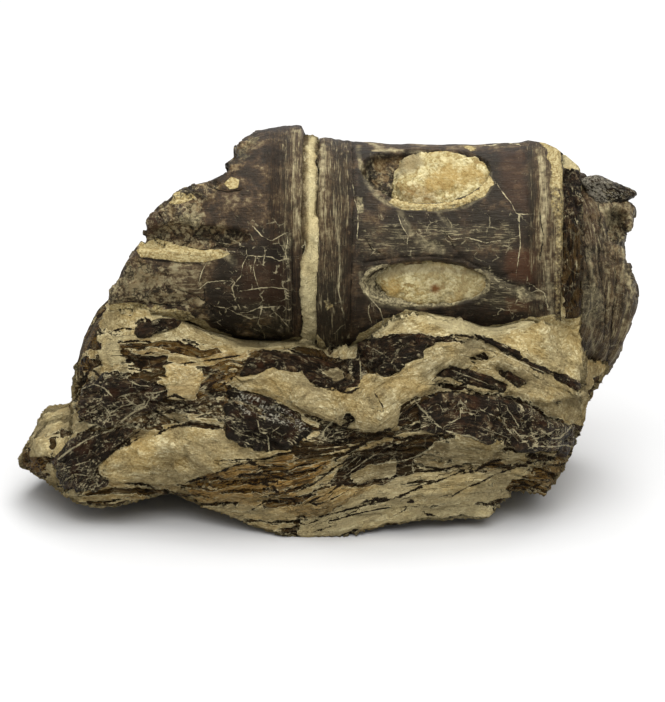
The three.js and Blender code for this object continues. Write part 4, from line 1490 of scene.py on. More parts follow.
# Where the chalk stands between two vertebrae, so that what is on it runs up and down
UPRIGHT_PARTS: tuple[Mark, ...] = (
    Mark((298, 100, 324, 100, 322, 344, 298, 344), 1.0, 0),
    Mark((552, 100, 600, 100, 600, 318, 552, 318), 1.0, 0),
)


@dataclass
class ChalkBlock:
    """The block of chalk, meshed with the hollows of its scraps filled, so that none stands in a gap."""

    finish: ChalkFinish
    voxel: float = 0.72
    cuts: int = 1
    bare: float = 0.26  # share of bone in the chalk of the sides and back
    room: float = 19.6  # what faces the vertebrae's line within this distance of it is out of sight
    collar: float = 0.4  # how far the chalk is raised where it meets the vertebrae
    lap: float = 1.3  # how far its edge is drawn in over them
    grain: float = 0.26  # height of its unevenness
    step: float = 0.5  # height of the bony beds over the chalk
    sunk: float = 0.6  # how far the filling of a scrap's hollow stays under the scrap

    def build(self, scraps: tuple[str, ...]) -> bpy.types.Object:
        """Makes the block.

        Args:
            scraps: The nodes whose hollows are filled.

        Returns:
            The piece.
        """
        surface = Surface("chalk", ("chalk_block", *scraps), self.voxel, 0.35)
        surface.refine((surface.outward[:, 2] > 0.0) & ~self.hidden(surface), self.cuts)
        surface.relax(1)
        self.weather(surface, surface.gap_to(scraps))
        return surface.finish(self.finish.material(), "chalk", ("chalk_block",))

    def hidden(self, surface: Surface) -> np.ndarray:
        """Finds the points that lie behind or under the vertebrae, against them.

        Args:
            surface: The block's mesh.

        Returns:
            True for each of those points.
        """
        spoke = surface.face[:, 1:] - np.array(FACE.spine[1:])
        far = np.linalg.norm(spoke, axis=1)
        towards = np.sum(spoke * surface.outward[:, 1:], axis=1) < 0.1 * far
        return towards & (far < self.room)

    def weather(self, surface: Surface, gap: np.ndarray) -> None:
        """Gives the block its beds, its patches and its broken surface.

        Args:
            surface: The block's mesh.
            gap: How far each point is from the nearest scrap, in millimetres.
        """
        face, front = surface.face, surface.facing()
        wander = Noise.layered(face / 1.6, 11, 3)
        sway = np.stack([Noise.layered(face / 5.0, seed, 3) for seed in (21, 31)], axis=1) - 0.5
        spots = surface.spots + 7.0 * sway
        plain = face[:, 1] + 0.25 * face[:, 2] + 3.0 * Noise.layered(face / 16, 5, 2)
        across = mixed(plain, bed_levels(spots), front)
        along = face[:, 0] + 0.3 * face[:, 2] * (1 - front)
        bed = np.stack([along, across, face[:, 2]], axis=1)
        upright = sum(part.share(surface.spots, wander) for part in UPRIGHT_PARTS) * front
        bed = mixed(bed, face[:, [1, 0, 2]], upright[:, None])
        streak = evened(Noise.layered(bed / np.array([7.5, 0.9, 5.0]), 41, 4))
        clumps = Noise.layered(face / 11, 51, 3)
        bone = mixed(self.bare * ease(clumps, 0.35, 0.6), np.full(len(face), 0.35), front)
        tints = {
            "ochre": mixed(0.5 * ease(clumps, 0.4, 0.7), 0.25, front),
            "grey": mixed(0.35 * ease(wander, 0.3, 0.7), 0.2, front),
            "film": np.full(len(face), 0.3),
            "network": np.full(len(face), 0.3),
            "pale": np.zeros(len(face)),
        }
        rise = np.zeros(len(face))
        for patch in CHALK_PATCHES:
            share = patch.share(spots, wander) * front
            if patch.bone is not None:
                bone = mixed(bone, patch.bone, share)
            for name in tints:
                value = getattr(patch, name)
                if value is not None:
                    tints[name] = mixed(tints[name], value, share)
            rise = mixed(rise, patch.rise, share)
        field = bone - streak
        dark = ease(field, -0.04, 0.06)
        splinter = Noise.layered(bed / np.array([5.0, 0.9, 2.5]), 61, 3) - 0.5
        crumbs = Noise.layered(face / 1.1, 71, 3) - 0.5
        broken = Noise.layered(bed / np.array([4.5, 2.4, 3.4]), 81, 3) - 0.5
        shards = Noise.shards(bed / np.array([4.0, 1.5, 3.0]) + 0.35 * splinter[:, None], 91)
        rough = self.grain * (1.8 * crumbs + 3.4 * broken) + (0.6 + 0.4 * dark) * shards
        height = rise + rough + dark * (self.step * (streak - 0.5) + 1.4 * splinter - 0.25)
        line = np.interp(face[:, 0], (-6.0, -3.0), (FACE.spine[1] + 2.0, FACE.spine[1]))
        spoke = np.stack([np.zeros(len(face)), face[:, 1] - line, face[:, 2]], axis=1)
        off_line = np.linalg.norm(spoke, axis=1)
        spoke /= np.maximum(off_line, 1e-6)[:, None]
        at_edge = (1 - ease(off_line, 18.6, 21.5)) * (face[:, 2] > 0) * (1 - upright)
        height = mixed(height, self.collar + rough + rise * upright, 1 - ease(off_line, 18.2, 20.2))
        height = mixed(height, -self.sunk, (1 - ease(gap, 0.25, 0.5)) * front)
        hidden = self.hidden(surface)
        lap = at_edge * np.where(hidden, 0.0, self.lap + 2.2 * crumbs + 1.2 * shards)
        surface.swell(np.where(hidden, 0.0, height))
        surface.place(surface.face - spoke * np.maximum(lap, 0.0)[:, None])
        surface.lower_to(CHALK_TOP)
        surface.stand()
        surface.write("bed", bed)
        surface.write("bone", field)
        for name, values in tints.items():
            surface.write(name, values - 0.9 * (name == "film"))
        draw_lines(surface, surface.spots + 2.0 * sway)


@dataclass(frozen=True)
class Marks:
    """What is seen on a vertebra, outlined in the picture."""

    dust: tuple[Mark, ...] = ()
    chalky: tuple[Mark, ...] = ()
    grey: tuple[Mark, ...] = ()
    red: tuple[Mark, ...] = ()
    network: tuple[Mark, ...] = ()
    tone: tuple[Mark, ...] = ()
    broken: tuple[Mark, ...] = ()
    smears: tuple[Line, ...] = ()
    veins: tuple[Line, ...] = ()
    fissures: tuple[Line, ...] = ()
    top: Path = (0, 0)  # what would reach over this line is broken off


@dataclass
class Vertebra:
    """One vertebra: a spool with a rim at each end, seen from its side.

    middle is the middle of its line in the face frame, yaw how far its right end is turned away,
    sound the distance from its ideal surface within which it is taken to be whole, and ribbed how
    much its broken parts are ridged as its rims are.
    """

    node: str
    finish: VertebraFinish
    marks: Marks
    middle: tuple[float, float, float]
    yaw: float = 0.0
    length: float = 40.0
    rim_radius: float = 18.0
    waist_radius: float = 16.9
    rim_width: float = 5.8
    rim_step: float = 0.06
    voxel: float = 0.55
    cuts: int = 1
    sound: float = 0.28
    grown: float = 0.24
    rough: float = 0.22
    ribbed: float = 0.0

    def build(self) -> bpy.types.Object:
        """Makes the vertebra.

        Returns:
            The piece.
        """
        surface = Surface(f"{self.node}_bone", (self.node,), self.voxel)
        surface.refine(surface.outward[:, 2] > -0.15, self.cuts)
        surface.relax(1)
        self.round_off(surface)
        self.wear(surface)
        return surface.finish(self.finish.material(), "vertebra_bone", (self.node,))

    def along(self, face: np.ndarray) -> np.ndarray:
        """Places on the vertebra: along its line, round it and out from it, in millimetres.

        Args:
            face: Points in the face frame.

        Returns:
            Three numbers for each point.
        """
        away = face - np.array(self.middle)
        sine, cosine = math.sin(self.yaw), math.cos(self.yaw)
        line = away[:, 0] * cosine - away[:, 2] * sine
        out = away[:, 0] * sine + away[:, 2] * cosine
        turned = np.arctan2(away[:, 1], out) * self.rim_radius
        return np.stack([line, turned, np.hypot(away[:, 1], out)], axis=1)

    def radius(self, line: np.ndarray) -> np.ndarray:
        """Gives the whole vertebra's radius at places along its line.

        Args:
            line: The places, in millimetres from its middle.

        Returns:
            The radius at each, in millimetres.
        """
        half = self.length / 2
        shares = np.array([0, 0.3, 0.62, 0.88, 0.965, 1.0]) * half
        waist, rim = self.waist_radius, self.rim_radius
        return np.interp(np.abs(line), shares, [waist, waist, waist + 0.3, rim - 0.1, rim, rim - 0.1])

    def push(self, surface: Surface, outwards: np.ndarray) -> None:
        """Moves points straight out from the vertebra's line.

        Args:
            surface: The vertebra's mesh.
            outwards: How far each goes, in millimetres.
        """
        away = surface.face - np.array(self.middle)
        sine, cosine = math.sin(self.yaw), math.cos(self.yaw)
        line = away[:, 0] * cosine - away[:, 2] * sine
        foot = np.stack([line * cosine, np.zeros(len(line)), -line * sine], axis=1)
        spoke = away - foot
        spoke /= np.maximum(np.linalg.norm(spoke, axis=1), 1e-6)[:, None]
        surface.place(surface.face + spoke * outwards[:, None])

    def round_off(self, surface: Surface) -> None:
        """Makes the flat faces of the model's spool round, where it is whole.

        Args:
            surface: The vertebra's mesh.
        """
        local = self.along(surface.face)
        short = self.radius(local[:, 0]) - local[:, 2]
        whole = (np.abs(short) < self.sound) & (np.abs(local[:, 0]) < self.length / 2 - 0.3)
        self.push(surface, np.where(whole, short, 0.0))

    def wear(self, surface: Surface) -> None:
        """Gives the bone its rims, its uneven surface, its cracks and its dust.

        Args:
            surface: The vertebra's mesh.
        """
        local = self.along(surface.face)
        face, spots, front = surface.face, surface.spots, surface.facing()
        wander = Noise.layered(face / 1.5, 101, 3)
        sway = np.stack([Noise.layered(face / 4.0, seed, 3) for seed in (111, 121)], axis=1) - 0.5
        spots = spots + 5.0 * sway
        edge = self.length / 2 - self.rim_width + 1.2 * (Noise.layered(face / 4.0, 131, 2) - 0.5)
        on_rim = ease(np.abs(local[:, 0]), edge - 1.0, edge + 1.0)
        outer = ease(self.radius(local[:, 0]) - local[:, 2], 1.6, 0.5)
        for mark in self.marks.broken:
            outer = outer * (1 - mark.amount * mark.share(spots, wander) * front)
        drawn = local / np.array([5.0, 1.1, 3.0])
        threads = Noise.layered(drawn, 141, 3) - 0.5
        hoops = Noise.layered(local[:, [1, 0, 2]] / np.array([9.0, 0.75, 3.0]), 151, 2) - 0.5
        lumps = Noise.layered(face / 3.5, 161, 3) - 0.5
        shards = Noise.shards(face / np.array([2.6, 2.0, 2.4]) + 0.4 * lumps[:, None], 171)
        ridged = np.maximum(on_rim * outer, self.ribbed)
        height = self.grown + outer * self.rim_step * (on_rim - 0.4) + 0.32 * ridged * hoops
        height = height + self.ribbed * 0.8 * hoops + 0.35 * outer * (1 - ridged) * threads
        height = height + self.rough * 1.6 * lumps + 1.1 * (1 - outer) * shards
        for name in ("dust", "grey", "red", "network", "chalky", "tone"):
            values = np.zeros(len(face))
            for mark in getattr(self.marks, name):
                values = mixed(values, mark.amount, mark.share(spots, wander) * front)
            if name == "grey":
                values = np.maximum(values, 0.66 * (1 - outer))
            surface.write(name, values - 0.5 * (name in ("dust", "grey", "chalky")))
        nudged = surface.spots + 2.5 * sway
        smear = np.zeros(len(face))
        for stroke in self.marks.smears:
            smear = np.maximum(smear, stroke.strength(nudged) * front)
        veins = line_distance(self.marks.veins, nudged)
        fissures = line_distance(self.marks.fissures, nudged)
        ditch = (1 - ease(np.abs(fissures), 0.4, 2.4)) * front
        surface.write("bed", local)
        surface.write("rim", ridged)
        surface.write("broken", 1 - outer)
        surface.write("smear", smear)
        surface.write("vein", np.where(front > 0.1, veins, FAR))
        surface.write("fissure", np.where(front > 0.1, fissures, FAR))
        surface.swell(height - 0.3 * ditch - 0.15 * smear)
        surface.lower_to(self.marks.top)


@dataclass
class PitChalk:
    """The chalk in one of the middle vertebra's pits."""

    node: str
    finish: PitChalkFinish
    grey: tuple[Mark, ...] = ()
    rust: tuple[Mark, ...] = ()
    voxel: float = 0.4
    grown: float = 0.42
    lump: float = 1.3  # how wide its grains are
    height: float = 0.9  # and how high
    flat: float = 0.6  # how much of its crown is left

    def build(self) -> bpy.types.Object:
        """Makes the chalk.

        Returns:
            The piece.
        """
        surface = Surface(f"{self.node}_grains", (self.node,), self.voxel)
        surface.relax(2)
        face = surface.face
        wander = Noise.layered(face / 1.2, 201, 3)
        bend = Noise.layered(face / 1.5, 231, 2) - 0.5
        grains = Noise.shards(face / self.lump + 0.6 * bend[:, None], 211)
        fine = Noise.layered(face / 0.7, 221, 2) - 0.5
        surface.swell(self.grown + self.height * (0.5 * grains + fine + 0.8 * bend))
        face = surface.face
        face[:, 2] = face[:, 2].mean() + self.flat * (face[:, 2] - face[:, 2].mean())
        surface.place(face)
        for name in ("grey", "rust"):
            values = np.zeros(len(face))
            for mark in getattr(self, name):
                values = np.maximum(values, mark.share(surface.spots, wander) * mark.amount)
            surface.write(name, values)
        return surface.finish(self.finish.material(), "pit_chalk", (self.node,))


@dataclass
class Scrap:
    """A scrap of rib, spine or skull bone in the chalk's face.

    turn is the angle of its threads up from u, in degrees, or None where they follow the beds, and
    glitter says where the film on it is thick or thin.
    """

    node: str
    finish: ScrapFinish
    turn: float | None = None
    film: float = 0.35
    network: float = 0.5
    glitter: tuple[Mark, ...] = ()
    voxel: float = 0.34
    grown: float = 0.25
    splinter: float = 0.9
    lump: float = 0.8
    rounds: int = 3

    def build(self) -> bpy.types.Object:
        """Makes the scrap.

        Returns:
            The piece.
        """
        surface = Surface(f"{self.node}_bone", (self.node,), self.voxel)
        surface.relax(self.rounds)
        face = surface.face
        bed = self.threads(surface)
        splinters = Noise.layered(bed / np.array([6.0, 0.55, 3.0]), 301, 3) - 0.5
        chips = Noise.layered(face / 1.3, 311, 3) - 0.5
        lumps = Noise.layered(face / 4.0, 321, 2) - 0.5
        shards = Noise.shards(bed / np.array([4.5, 1.1, 2.5]) + 0.3 * chips[:, None], 341)
        height = self.grown + self.splinter * splinters + 0.7 * chips + self.lump * lumps
        surface.swell(height + 0.8 * self.splinter * shards)
        surface.write("bed", bed)
        clouds = Noise.layered(face / 3.0, 331, 3)
        film = self.film + 1.2 * (clouds - 0.5)
        for mark in self.glitter:
            film = mixed(film, mark.amount, mark.share(surface.spots, clouds))
        surface.write("film", film - 0.9)
        draw_lines(surface, surface.spots)
        surface.write("network", np.full(len(face), self.network))
        return surface.finish(self.finish.material(), "scrap_bone", (self.node,))

    def threads(self, surface: Surface) -> np.ndarray:
        """Places along and across the scrap's threads.

        Args:
            surface: The scrap's mesh.

        Returns:
            Three numbers for each point, in millimetres.
        """
        face = surface.face
        if self.turn is None:
            return np.stack([face[:, 0], bed_levels(surface.spots), face[:, 2]], axis=1)
        turn = math.radians(self.turn)
        along = face[:, 0] * math.cos(turn) + face[:, 1] * math.sin(turn)
        across = face[:, 1] * math.cos(turn) - face[:, 0] * math.sin(turn)
        return np.stack([along, across, face[:, 2]], axis=1)


# What is seen on the middle vertebra
MIDDLE_MARKS = Marks(
    chalky=(
        Mark((312, 322, 318, 330, 326, 344, 334, 354, 330, 364, 308, 360), 1.0, 2),
        Mark((336, 356, 346, 350, 353, 340, 368, 327, 386, 317, 407, 310, 430, 312, 452, 318, 474, 326, 500,
              324, 530, 316, 560, 312, 560, 336, 360, 366, 336, 366), 0.9, 5),
        Mark((463, 149, 470, 147, 477, 151, 470, 154), 0.75, 3),
        Mark((400, 160, 420, 156, 460, 160, 490, 172, 494, 184, 484, 196, 462, 206, 430, 210, 400, 208, 388,
              202, 398, 194), 1.0, 2),
        Mark((384, 201, 400, 205, 430, 206, 462, 203, 478, 195, 484, 190, 480, 199, 462, 208, 430, 211, 400,
              210), 0.56, 2),
        Mark((322, 300, 329, 299, 333, 308, 326, 313), 0.5, 4),
        Mark((550, 140, 566, 140, 566, 250, 556, 250, 549, 200), 0.52, 4, 3),
        Mark((534, 136, 568, 136, 568, 190, 555, 186, 548, 152), 0.9, 4),
        Mark((553, 250, 566, 250, 566, 322, 552, 322), 0.46, 4, 3),
    ),
    dust=(
        Mark((359, 281, 366, 270, 382, 264, 420, 262, 480, 270, 490, 280, 488, 291, 470, 300, 430, 307, 398,
              307, 374, 302, 363, 292), 0.95, 2),
        Mark((512, 288, 524, 284, 530, 296, 536, 300, 526, 304, 516, 298), 0.55, 5),
        Mark((536, 282, 552, 280, 556, 306, 540, 312), 0.42, 8),
        Mark((354, 196, 362, 197, 364, 214, 357, 214), 0.6, 3),
        Mark((416, 238, 442, 240, 440, 253, 420, 252), 0.4, 6),
        Mark((480, 140, 522, 140, 510, 150, 484, 148), 0.38, 8),
    ),
    grey=(
        Mark((360, 168, 372, 156, 400, 153, 404, 205, 384, 200, 368, 188), 0.6, 4),
        Mark((358, 222, 420, 220, 470, 226, 516, 222, 516, 252, 358, 258), 0.62, 14, 7),
        Mark((526, 146, 560, 146, 558, 280, 530, 280), 0.62, 6, 3),
        Mark((316, 140, 352, 140, 344, 346, 318, 346), 0.6, 8, 4),
        Mark((326, 146, 342, 146, 342, 220, 330, 220), 0.66, 8, 4),
        Mark((482, 266, 530, 286, 540, 318, 470, 300), 0.7, 9, 4),
    ),
    red=(
        Mark((506, 250, 536, 252, 534, 282, 506, 280), 0.8, 7, 4),
        Mark((505, 297, 531, 298, 531, 311, 507, 311), 0.85, 6, 3),
        Mark((500, 150, 526, 150, 526, 215, 504, 200), 0.35, 8, 5),
    ),
    network=(
        Mark((354, 214, 520, 214, 520, 262, 354, 262), 0.5, 8),
        Mark((330, 300, 360, 300, 360, 350, 330, 350), 0.7, 6),
        Mark((480, 266, 556, 282, 552, 320, 470, 316), 0.9, 6),
    ),
    tone=(
        Mark((353, 150, 524, 150, 524, 310, 353, 310), -0.2, 8, 8),
        Mark((314, 128, 330, 128, 332, 240, 314, 240), 0.28, 4, 4),
        Mark((528, 140, 560, 140, 560, 300, 534, 300), 0.16, 4, 4),
        Mark((536, 150, 545, 150, 546, 260, 538, 260), 0.34, 4, 3),
        Mark((318, 272, 340, 272, 350, 350, 320, 350), -0.16, 5, 8),
        Mark((356, 302, 470, 306, 536, 300, 536, 330, 356, 340), -0.22, 5, 5),
        Mark((353, 146, 362, 150, 358, 186, 353, 186), -0.15, 3, 3),
        # a lighter strip along the top of the middle vertebra: a painted highlight where its top catches the
        # light
        Mark((368, 142, 500, 140, 500, 148, 368, 152), 0.2, 5, 4),
        Mark((522, 150, 534, 150, 534, 300, 522, 300), -0.18, 4, 3),
        Mark((374, 158, 396, 157, 392, 198, 378, 192), -0.12, 3, 3),
    ),
    smears=(
        Line((358, 148, 360, 165, 366, 183, 375, 195, 386, 203, 401, 208), 2.0),
        Line((401, 208, 419, 209, 439, 211, 466, 207, 486, 195, 494, 184), 1.6),
        Line((494, 184, 490, 170, 470, 160, 440, 154, 400, 151, 372, 152), 1.0),
        Line((399, 211, 405, 222, 411, 233), 3.2),
        Line((439, 214, 445, 221, 451, 228), 2.4),
        Line((418, 241, 432, 247, 441, 251), 4.0),
        Line((361, 273, 365, 288, 375, 303, 407, 307, 437, 304, 475, 297, 488, 286), 2.6),
        Line((488, 286, 487, 275, 463, 267, 437, 264, 392, 265, 369, 268), 1.4),
        Line((486, 272, 500, 284, 520, 292, 548, 298), 3.0),
        Line((323, 146, 324, 170, 323, 190), 1.6),
        Line((334, 196, 338, 240, 341, 280), 1.0),
        Line((541, 160, 545, 200, 543, 240), 2.6),
        Line((547, 262, 549, 290, 552, 316), 2.0),
    ),
    veins=(
        Line((498, 186, 504, 194, 510, 202, 516, 214, 521, 215, 528, 215)),
        Line((519, 215, 520, 232, 520, 248, 517, 268)),
        Line((353, 183, 354, 198, 358, 212, 358, 227, 357, 236)),
        Line((445, 233, 452, 240, 468, 238, 486, 243, 500, 241)),
        Line((366, 292, 370, 298, 380, 309, 383, 321, 379, 331)),
        Line((369, 306, 368, 312, 370, 320)),
        Line((340, 262, 338, 290, 342, 310)),
        Line((532, 285, 544, 292, 548, 306)),
        Line((398, 216, 402, 226, 408, 236, 407, 244)),
        Line((468, 145, 490, 147, 505, 143, 520, 146)),
    ),
    fissures=(
        Line((445, 233, 454, 248, 463, 259, 486, 270, 510, 283, 528, 287, 536, 284)),
        Line((364, 262, 400, 257, 430, 256, 462, 259)),
        Line((366, 240, 372, 250, 386, 256)),
        Line((352, 150, 354, 190, 353, 230, 352, 262, 350, 320)),
        Line((486, 268, 500, 275, 512, 272)),
        Line((540, 216, 544, 236, 540, 260)),
    ),
    top=(505, 134, 521, 139, 545, 143, 556, 148, 566, 156),
)
# What is seen on the left vertebra
LEFT_MARKS = Marks(
    chalky=(
        Mark((196, 312, 214, 326, 240, 338, 272, 340, 306, 334, 306, 352, 196, 352), 0.9, 5),
        Mark((138, 251, 146, 241, 156, 238, 180, 244, 204, 250, 222, 250, 232, 255, 225, 258, 205, 262, 190,
              262, 160, 259, 142, 256), 0.95, 2),
        Mark((224, 184, 231, 178, 240, 180, 238, 188, 230, 190), 0.95, 2),
        Mark((166, 203, 176, 194, 194, 193, 198, 197, 184, 203, 176, 207), 0.8, 4),
        Mark((174, 219, 190, 210, 202, 215, 200, 224, 180, 223), 0.4, 8),
        Mark((100, 306, 130, 303, 190, 310, 212, 330, 190, 326, 140, 312, 104, 314), 0.9, 3),
    ),
    dust=(
        Mark((176, 216, 194, 209, 204, 214, 200, 225, 182, 224), 0.62, 7),
        Mark((150, 226, 158, 222, 166, 230, 158, 240, 148, 238), 0.4, 5),
        Mark((234, 152, 250, 140, 262, 136, 256, 150, 242, 160), 0.42, 7),
        Mark((283, 232, 293, 232, 293, 262, 284, 262), 0.46, 5),
        Mark((112, 270, 150, 262, 166, 290, 130, 304, 100, 304), 0.36, 9),
    ),
    grey=(
        Mark((292, 130, 306, 130, 304, 250, 292, 250), 1.0, 5, 3),
        Mark((280, 130, 292, 130, 294, 334, 284, 334), 0.6, 5, 4),
        Mark((146, 200, 200, 188, 206, 214, 196, 244, 146, 246), 0.7, 8, 3),
        Mark((146, 262, 206, 262, 206, 290, 170, 310, 110, 306), 0.66, 9, 3),
        Mark((236, 300, 276, 302, 286, 336, 240, 340), 0.55, 8, 3),
    ),
    red=(
        Mark((240, 260, 290, 262, 288, 306, 244, 300), 0.3, 8, 5),
        Mark((144, 212, 160, 210, 166, 232, 148, 238), 0.5, 4, 3),
    ),
    network=(
        Mark((206, 240, 290, 244, 292, 338, 214, 330), 0.95, 6),
        Mark((236, 216, 286, 220, 286, 248, 236, 246), 0.5, 6),
        Mark((146, 190, 206, 190, 206, 250, 146, 250), 0.4, 6),
    ),
    tone=(
        Mark((289, 128, 306, 128, 306, 240, 292, 252), 0.24, 4, 4),
        Mark((228, 246, 292, 240, 292, 340, 214, 330, 206, 290), -0.3, 6, 5),
        Mark((100, 262, 200, 262, 200, 300, 180, 312, 100, 306), 0.3, 6, 5),
        Mark((146, 196, 206, 190, 206, 250, 146, 250), 0.2, 6, 5),
    ),
    broken=(
        Mark((140, 190, 206, 180, 222, 186, 210, 200, 200, 212, 206, 232, 216, 246, 196, 246, 140, 244), 0.9,
              9, 3),
        Mark((90, 262, 150, 258, 168, 268, 176, 290, 208, 300, 216, 318, 190, 322, 90, 312), 0.9, 9, 3),
        Mark((226, 176, 228, 150, 246, 128, 262, 126, 250, 146, 240, 172), 0.7, 5, 2),
        Mark((236, 318, 262, 312, 284, 326, 280, 342, 230, 342), 0.6, 6, 3),
    ),
    smears=(
        Line((215, 252, 226, 256, 234, 262), 3.5),
        Line((293, 136, 295, 160, 293, 190, 297, 215, 301, 236), 1.0),
    ),
    veins=(
        Line((246, 248, 247, 256, 243, 265, 242, 275, 236, 282, 232, 287, 235, 296, 240, 306)),
        Line((246, 255, 260, 256, 272, 256, 280, 260, 288, 258)),
        Line((256, 256, 254, 267, 257, 280, 260, 287, 272, 286, 287, 289)),
        Line((260, 287, 250, 289, 241, 291)),
        Line((232, 281, 220, 281, 208, 282, 200, 288)),
        Line((207, 262, 202, 272, 199, 281)),
        Line((240, 312, 250, 311, 260, 307, 275, 306)),
        Line((214, 305, 228, 307, 238, 313, 250, 318, 262, 316)),
        Line((270, 306, 280, 316, 290, 326)),
        Line((254, 228, 262, 236, 272, 240, 284, 234)),
        Line((234, 240, 246, 248, 240, 244, 224, 243)),
        Line((262, 306, 258, 322, 264, 334)),
        Line((288, 240, 286, 252, 289, 262)),
    ),
    fissures=(
        Line((160, 239, 180, 245, 204, 250, 218, 246, 236, 248, 246, 250)),
        Line((144, 258, 170, 262, 200, 264)),
        Line((208, 186, 216, 190, 228, 192, 240, 190)),
        Line((160, 214, 166, 224, 172, 230)),
        Line((176, 288, 206, 300, 226, 316)),
        Line((292, 240, 293, 280, 292, 330)),
        Line((100, 300, 130, 298, 160, 306, 190, 306)),
        Line((205, 290, 206, 304, 214, 312)),
    ),
)
# What is seen on the right vertebra
RIGHT_MARKS = Marks(
    broken=(
        Mark((566, 168, 640, 168, 640, 300, 600, 330, 566, 330), 0.45, 9, 8),
    ),
    dust=(
        Mark((570, 270, 584, 268, 600, 290, 606, 320, 590, 330, 572, 310), 0.45, 9),
        Mark((600, 208, 616, 204, 620, 222, 606, 228), 0.5, 5),
    ),
    grey=(
        Mark((552, 168, 578, 170, 580, 226, 552, 228), 0.9, 5),
        Mark((560, 320, 580, 322, 580, 356, 562, 356), 0.9, 6),
        Mark((580, 180, 640, 190, 640, 400, 580, 410), 0.85, 10, 4),
    ),
    red=(Mark((576, 180, 596, 176, 600, 246, 580, 246), 0.5, 6, 4),),
    network=(Mark((560, 200, 640, 200, 640, 400, 560, 410), 0.5, 6),),
    tone=(
        Mark((600, 250, 640, 240, 640, 412, 590, 412), 0.2, 9, 8),
        Mark((600, 196, 640, 190, 640, 250, 604, 250), 0.24, 8, 6),
    ),
    smears=(
        Line((566, 176, 568, 200, 566, 222), 5.0),
        Line((570, 326, 571, 350), 4.0),
        Line((580, 182, 594, 200, 604, 214), 2.0),
        Line((600, 188, 606, 206, 604, 226, 598, 240), 1.4),
        Line((586, 250, 592, 280, 590, 320, 594, 350), 1.2),
        Line((618, 230, 622, 260, 630, 290, 624, 320), 1.2),
    ),
    fissures=(
        Line((577, 176, 582, 210, 584, 250, 590, 290)),
        Line((597, 190, 600, 220, 598, 262, 606, 300, 604, 340)),
        Line((612, 240, 616, 280, 612, 330, 606, 370)),
        Line((576, 226, 578, 260, 580, 300)),
    ),
)


@dataclass
class Studio:
    """A pale floor under soft light from above."""

    floor_reach: float = 4.0
    sky: float = 0.62
    floor_tone: float = 0.5

    def build(self) -> None:
        """Makes the floor, the lights and the sky."""
        self.add_floor()
        self.add_light("key", (0.1, -0.5, 0.95), 1.2, 19.5)
        self.add_light("top", (0.12, 0.36, 1.0), 0.7, 8.5)
        world = bpy.context.scene.world or bpy.data.worlds.new("sky")
        bpy.context.scene.world = world
        world.use_nodes = True
        sky = world.node_tree.nodes["Background"]
        sky.inputs["Color"].default_value = (1.0, 1.0, 1.0, 1.0)
        sky.inputs["Strength"].default_value = self.sky
        bpy.context.scene.view_settings.view_transform = "Standard"

    def add_floor(self) -> None:
        """Makes the floor that the block stands on."""
        work = bmesh.new()
        bmesh.ops.create_grid(work, x_segments=1, y_segments=1, size=self.floor_reach)
        mesh = bpy.data.meshes.new("floor")
        work.to_mesh(mesh)
        work.free()
        floor = bpy.data.objects.new("floor", mesh)
        bpy.context.scene.collection.objects.link(floor)
        grey = (self.floor_tone, self.floor_tone, self.floor_tone, 1.0)
        mesh.materials.append(Dressing("floor", 0.95, 0.1).end(Base_Color=grey))

    def add_light(self, name: str, place: tuple[float, float, float], size: float, power: float) -> None:
        """Adds a square lamp that points at the block.

        Args:
            name: What it is called.
            place: Where it hangs, in metres.
            size: Its side, in metres.
            power: Its power, in watts.
        """
        data = bpy.data.lights.new(name, "AREA")
        data.size = size
        data.energy = power
        lamp = bpy.data.objects.new(name, data)
        lamp.location = place
        lamp.rotation_mode = "QUATERNION"
        lamp.rotation_quaternion = Vector((-place[0], -place[1], 0.03 - place[2])).to_track_quat("-Z", "Y")
        bpy.context.scene.collection.objects.link(lamp)


def vertebrae() -> tuple[Vertebra, ...]:
    """The three vertebrae, from the left."""
    finish = VertebraFinish()
    u, v, w = FACE.spine
    yaw = math.radians(24)
    half = Vertebra.length / 2
    right = (32.4 + half * math.cos(yaw), v - 4.2, -2.9 - half * math.sin(yaw))
    return (
        Vertebra("vertebra_left", finish, LEFT_MARKS, (u - 42.6, v + 2.0, w)),
        Vertebra("vertebra_middle", finish, MIDDLE_MARKS, (u, v, w)),
        Vertebra("vertebra_right", finish, RIGHT_MARKS, right, yaw, ribbed=0.9),
    )


# Where the film on the dark lens and on the beak is thick or thin
LENS_GLITTER = (
    Mark((232, 396, 240, 390, 262, 398, 290, 410, 308, 424, 312, 432, 292, 428, 262, 420, 240, 416), 0.9, 6),
    Mark((226, 426, 250, 424, 290, 430, 304, 436, 286, 450, 250, 450), 0.0, 6),
)
BEAK_GLITTER = (
    Mark((574, 168, 604, 178, 612, 186, 604, 206, 574, 200), 0.95, 6),
    Mark((614, 182, 640, 190, 640, 200, 610, 204, 606, 194), 0.7, 6),
)


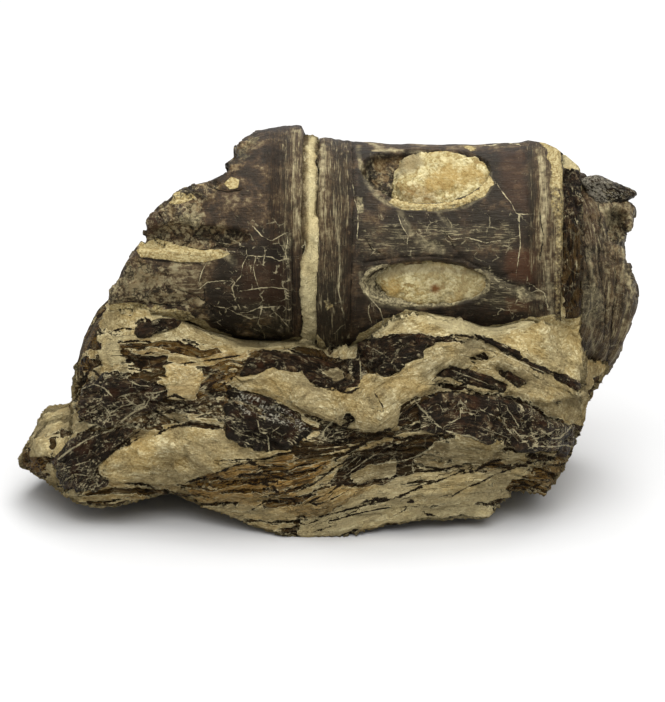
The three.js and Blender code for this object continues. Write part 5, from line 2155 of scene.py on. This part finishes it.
def scraps() -> tuple[Scrap, ...]:
    """The scraps of bone in the block's face."""
    finish = ScrapFinish()
    crackled = ScrapFinish("crackled_bone", 0.3, 1.2, 0.22, 0.04, TONES.cool_glint)
    filmed = ScrapFinish("filmed_bone", 0.34, 2.0, 0.1, 0.7, TONES.dull_glint)
    return (
        Scrap("rib_long", finish, -27, film=0.4, network=0.2),
        Scrap("rib_stub_long", finish, -17, film=0.4, network=0.2),
        Scrap("rib_stub_short", finish, -30, film=0.4, network=0.2),
        Scrap("plate_under_rim", finish, -4, film=0.3),
        Scrap("plate_dark_band", finish, film=0.3, network=0.3),
        Scrap("skull_lens", crackled, -22, film=0.2, network=0.5, glitter=LENS_GLITTER),
        Scrap("skull_left", finish, 8, film=0.45, network=1.0),
        Scrap("skull_right", finish, film=0.5, network=0.8),
        Scrap("jaw_corner", finish, 44, film=0.65, network=0.4),
        Scrap("splint_left", finish, 12, film=0.3, network=0.1),
        Scrap("arch_beak", filmed, -24, film=0.9, network=0.2, glitter=BEAK_GLITTER, grown=0.1, splinter=0.4,
              lump=0.2, rounds=1),
    )


def main() -> None:
    """Makes the camera, the studio and every piece."""
    logging.basicConfig(level=logging.INFO, format="%(name)s %(message)s")
    PICTURE.add_camera()
    Studio().build()
    bits = scraps()
    in_face = tuple(scrap.node for scrap in bits if scrap.node != "arch_beak")
    ChalkBlock(ChalkFinish()).build(in_face)
    for vertebra in vertebrae():
        vertebra.build()
    pit_finish = PitChalkFinish()
    murk = Mark((396, 150, 418, 152, 424, 164, 414, 172, 398, 176), 0.7, 5, 3)
    stain = Mark((400, 188, 416, 184, 436, 192, 436, 204, 402, 204), 0.35, 5, 5)
    PitChalk("pit_chalk_upper", pit_finish, grey=(murk,), rust=(stain,), grown=1.05).build()
    shade = Mark((360, 268, 420, 262, 490, 272, 490, 278, 420, 272, 364, 282), 0.7, 4, 4)
    dull_end = Mark((400, 262, 492, 262, 492, 304, 440, 304), 0.35, 8, 8)
    hole = Mark((431, 286, 437, 284, 440, 289, 436, 293, 431, 291), 1.0, 1, 1.5)
    PitChalk("pit_chalk_lower", pit_finish, grey=(shade, dull_end), rust=(hole,), grown=1.25).build()
    for scrap in bits:
        scrap.build()


if __name__ == "__main__":
    main()
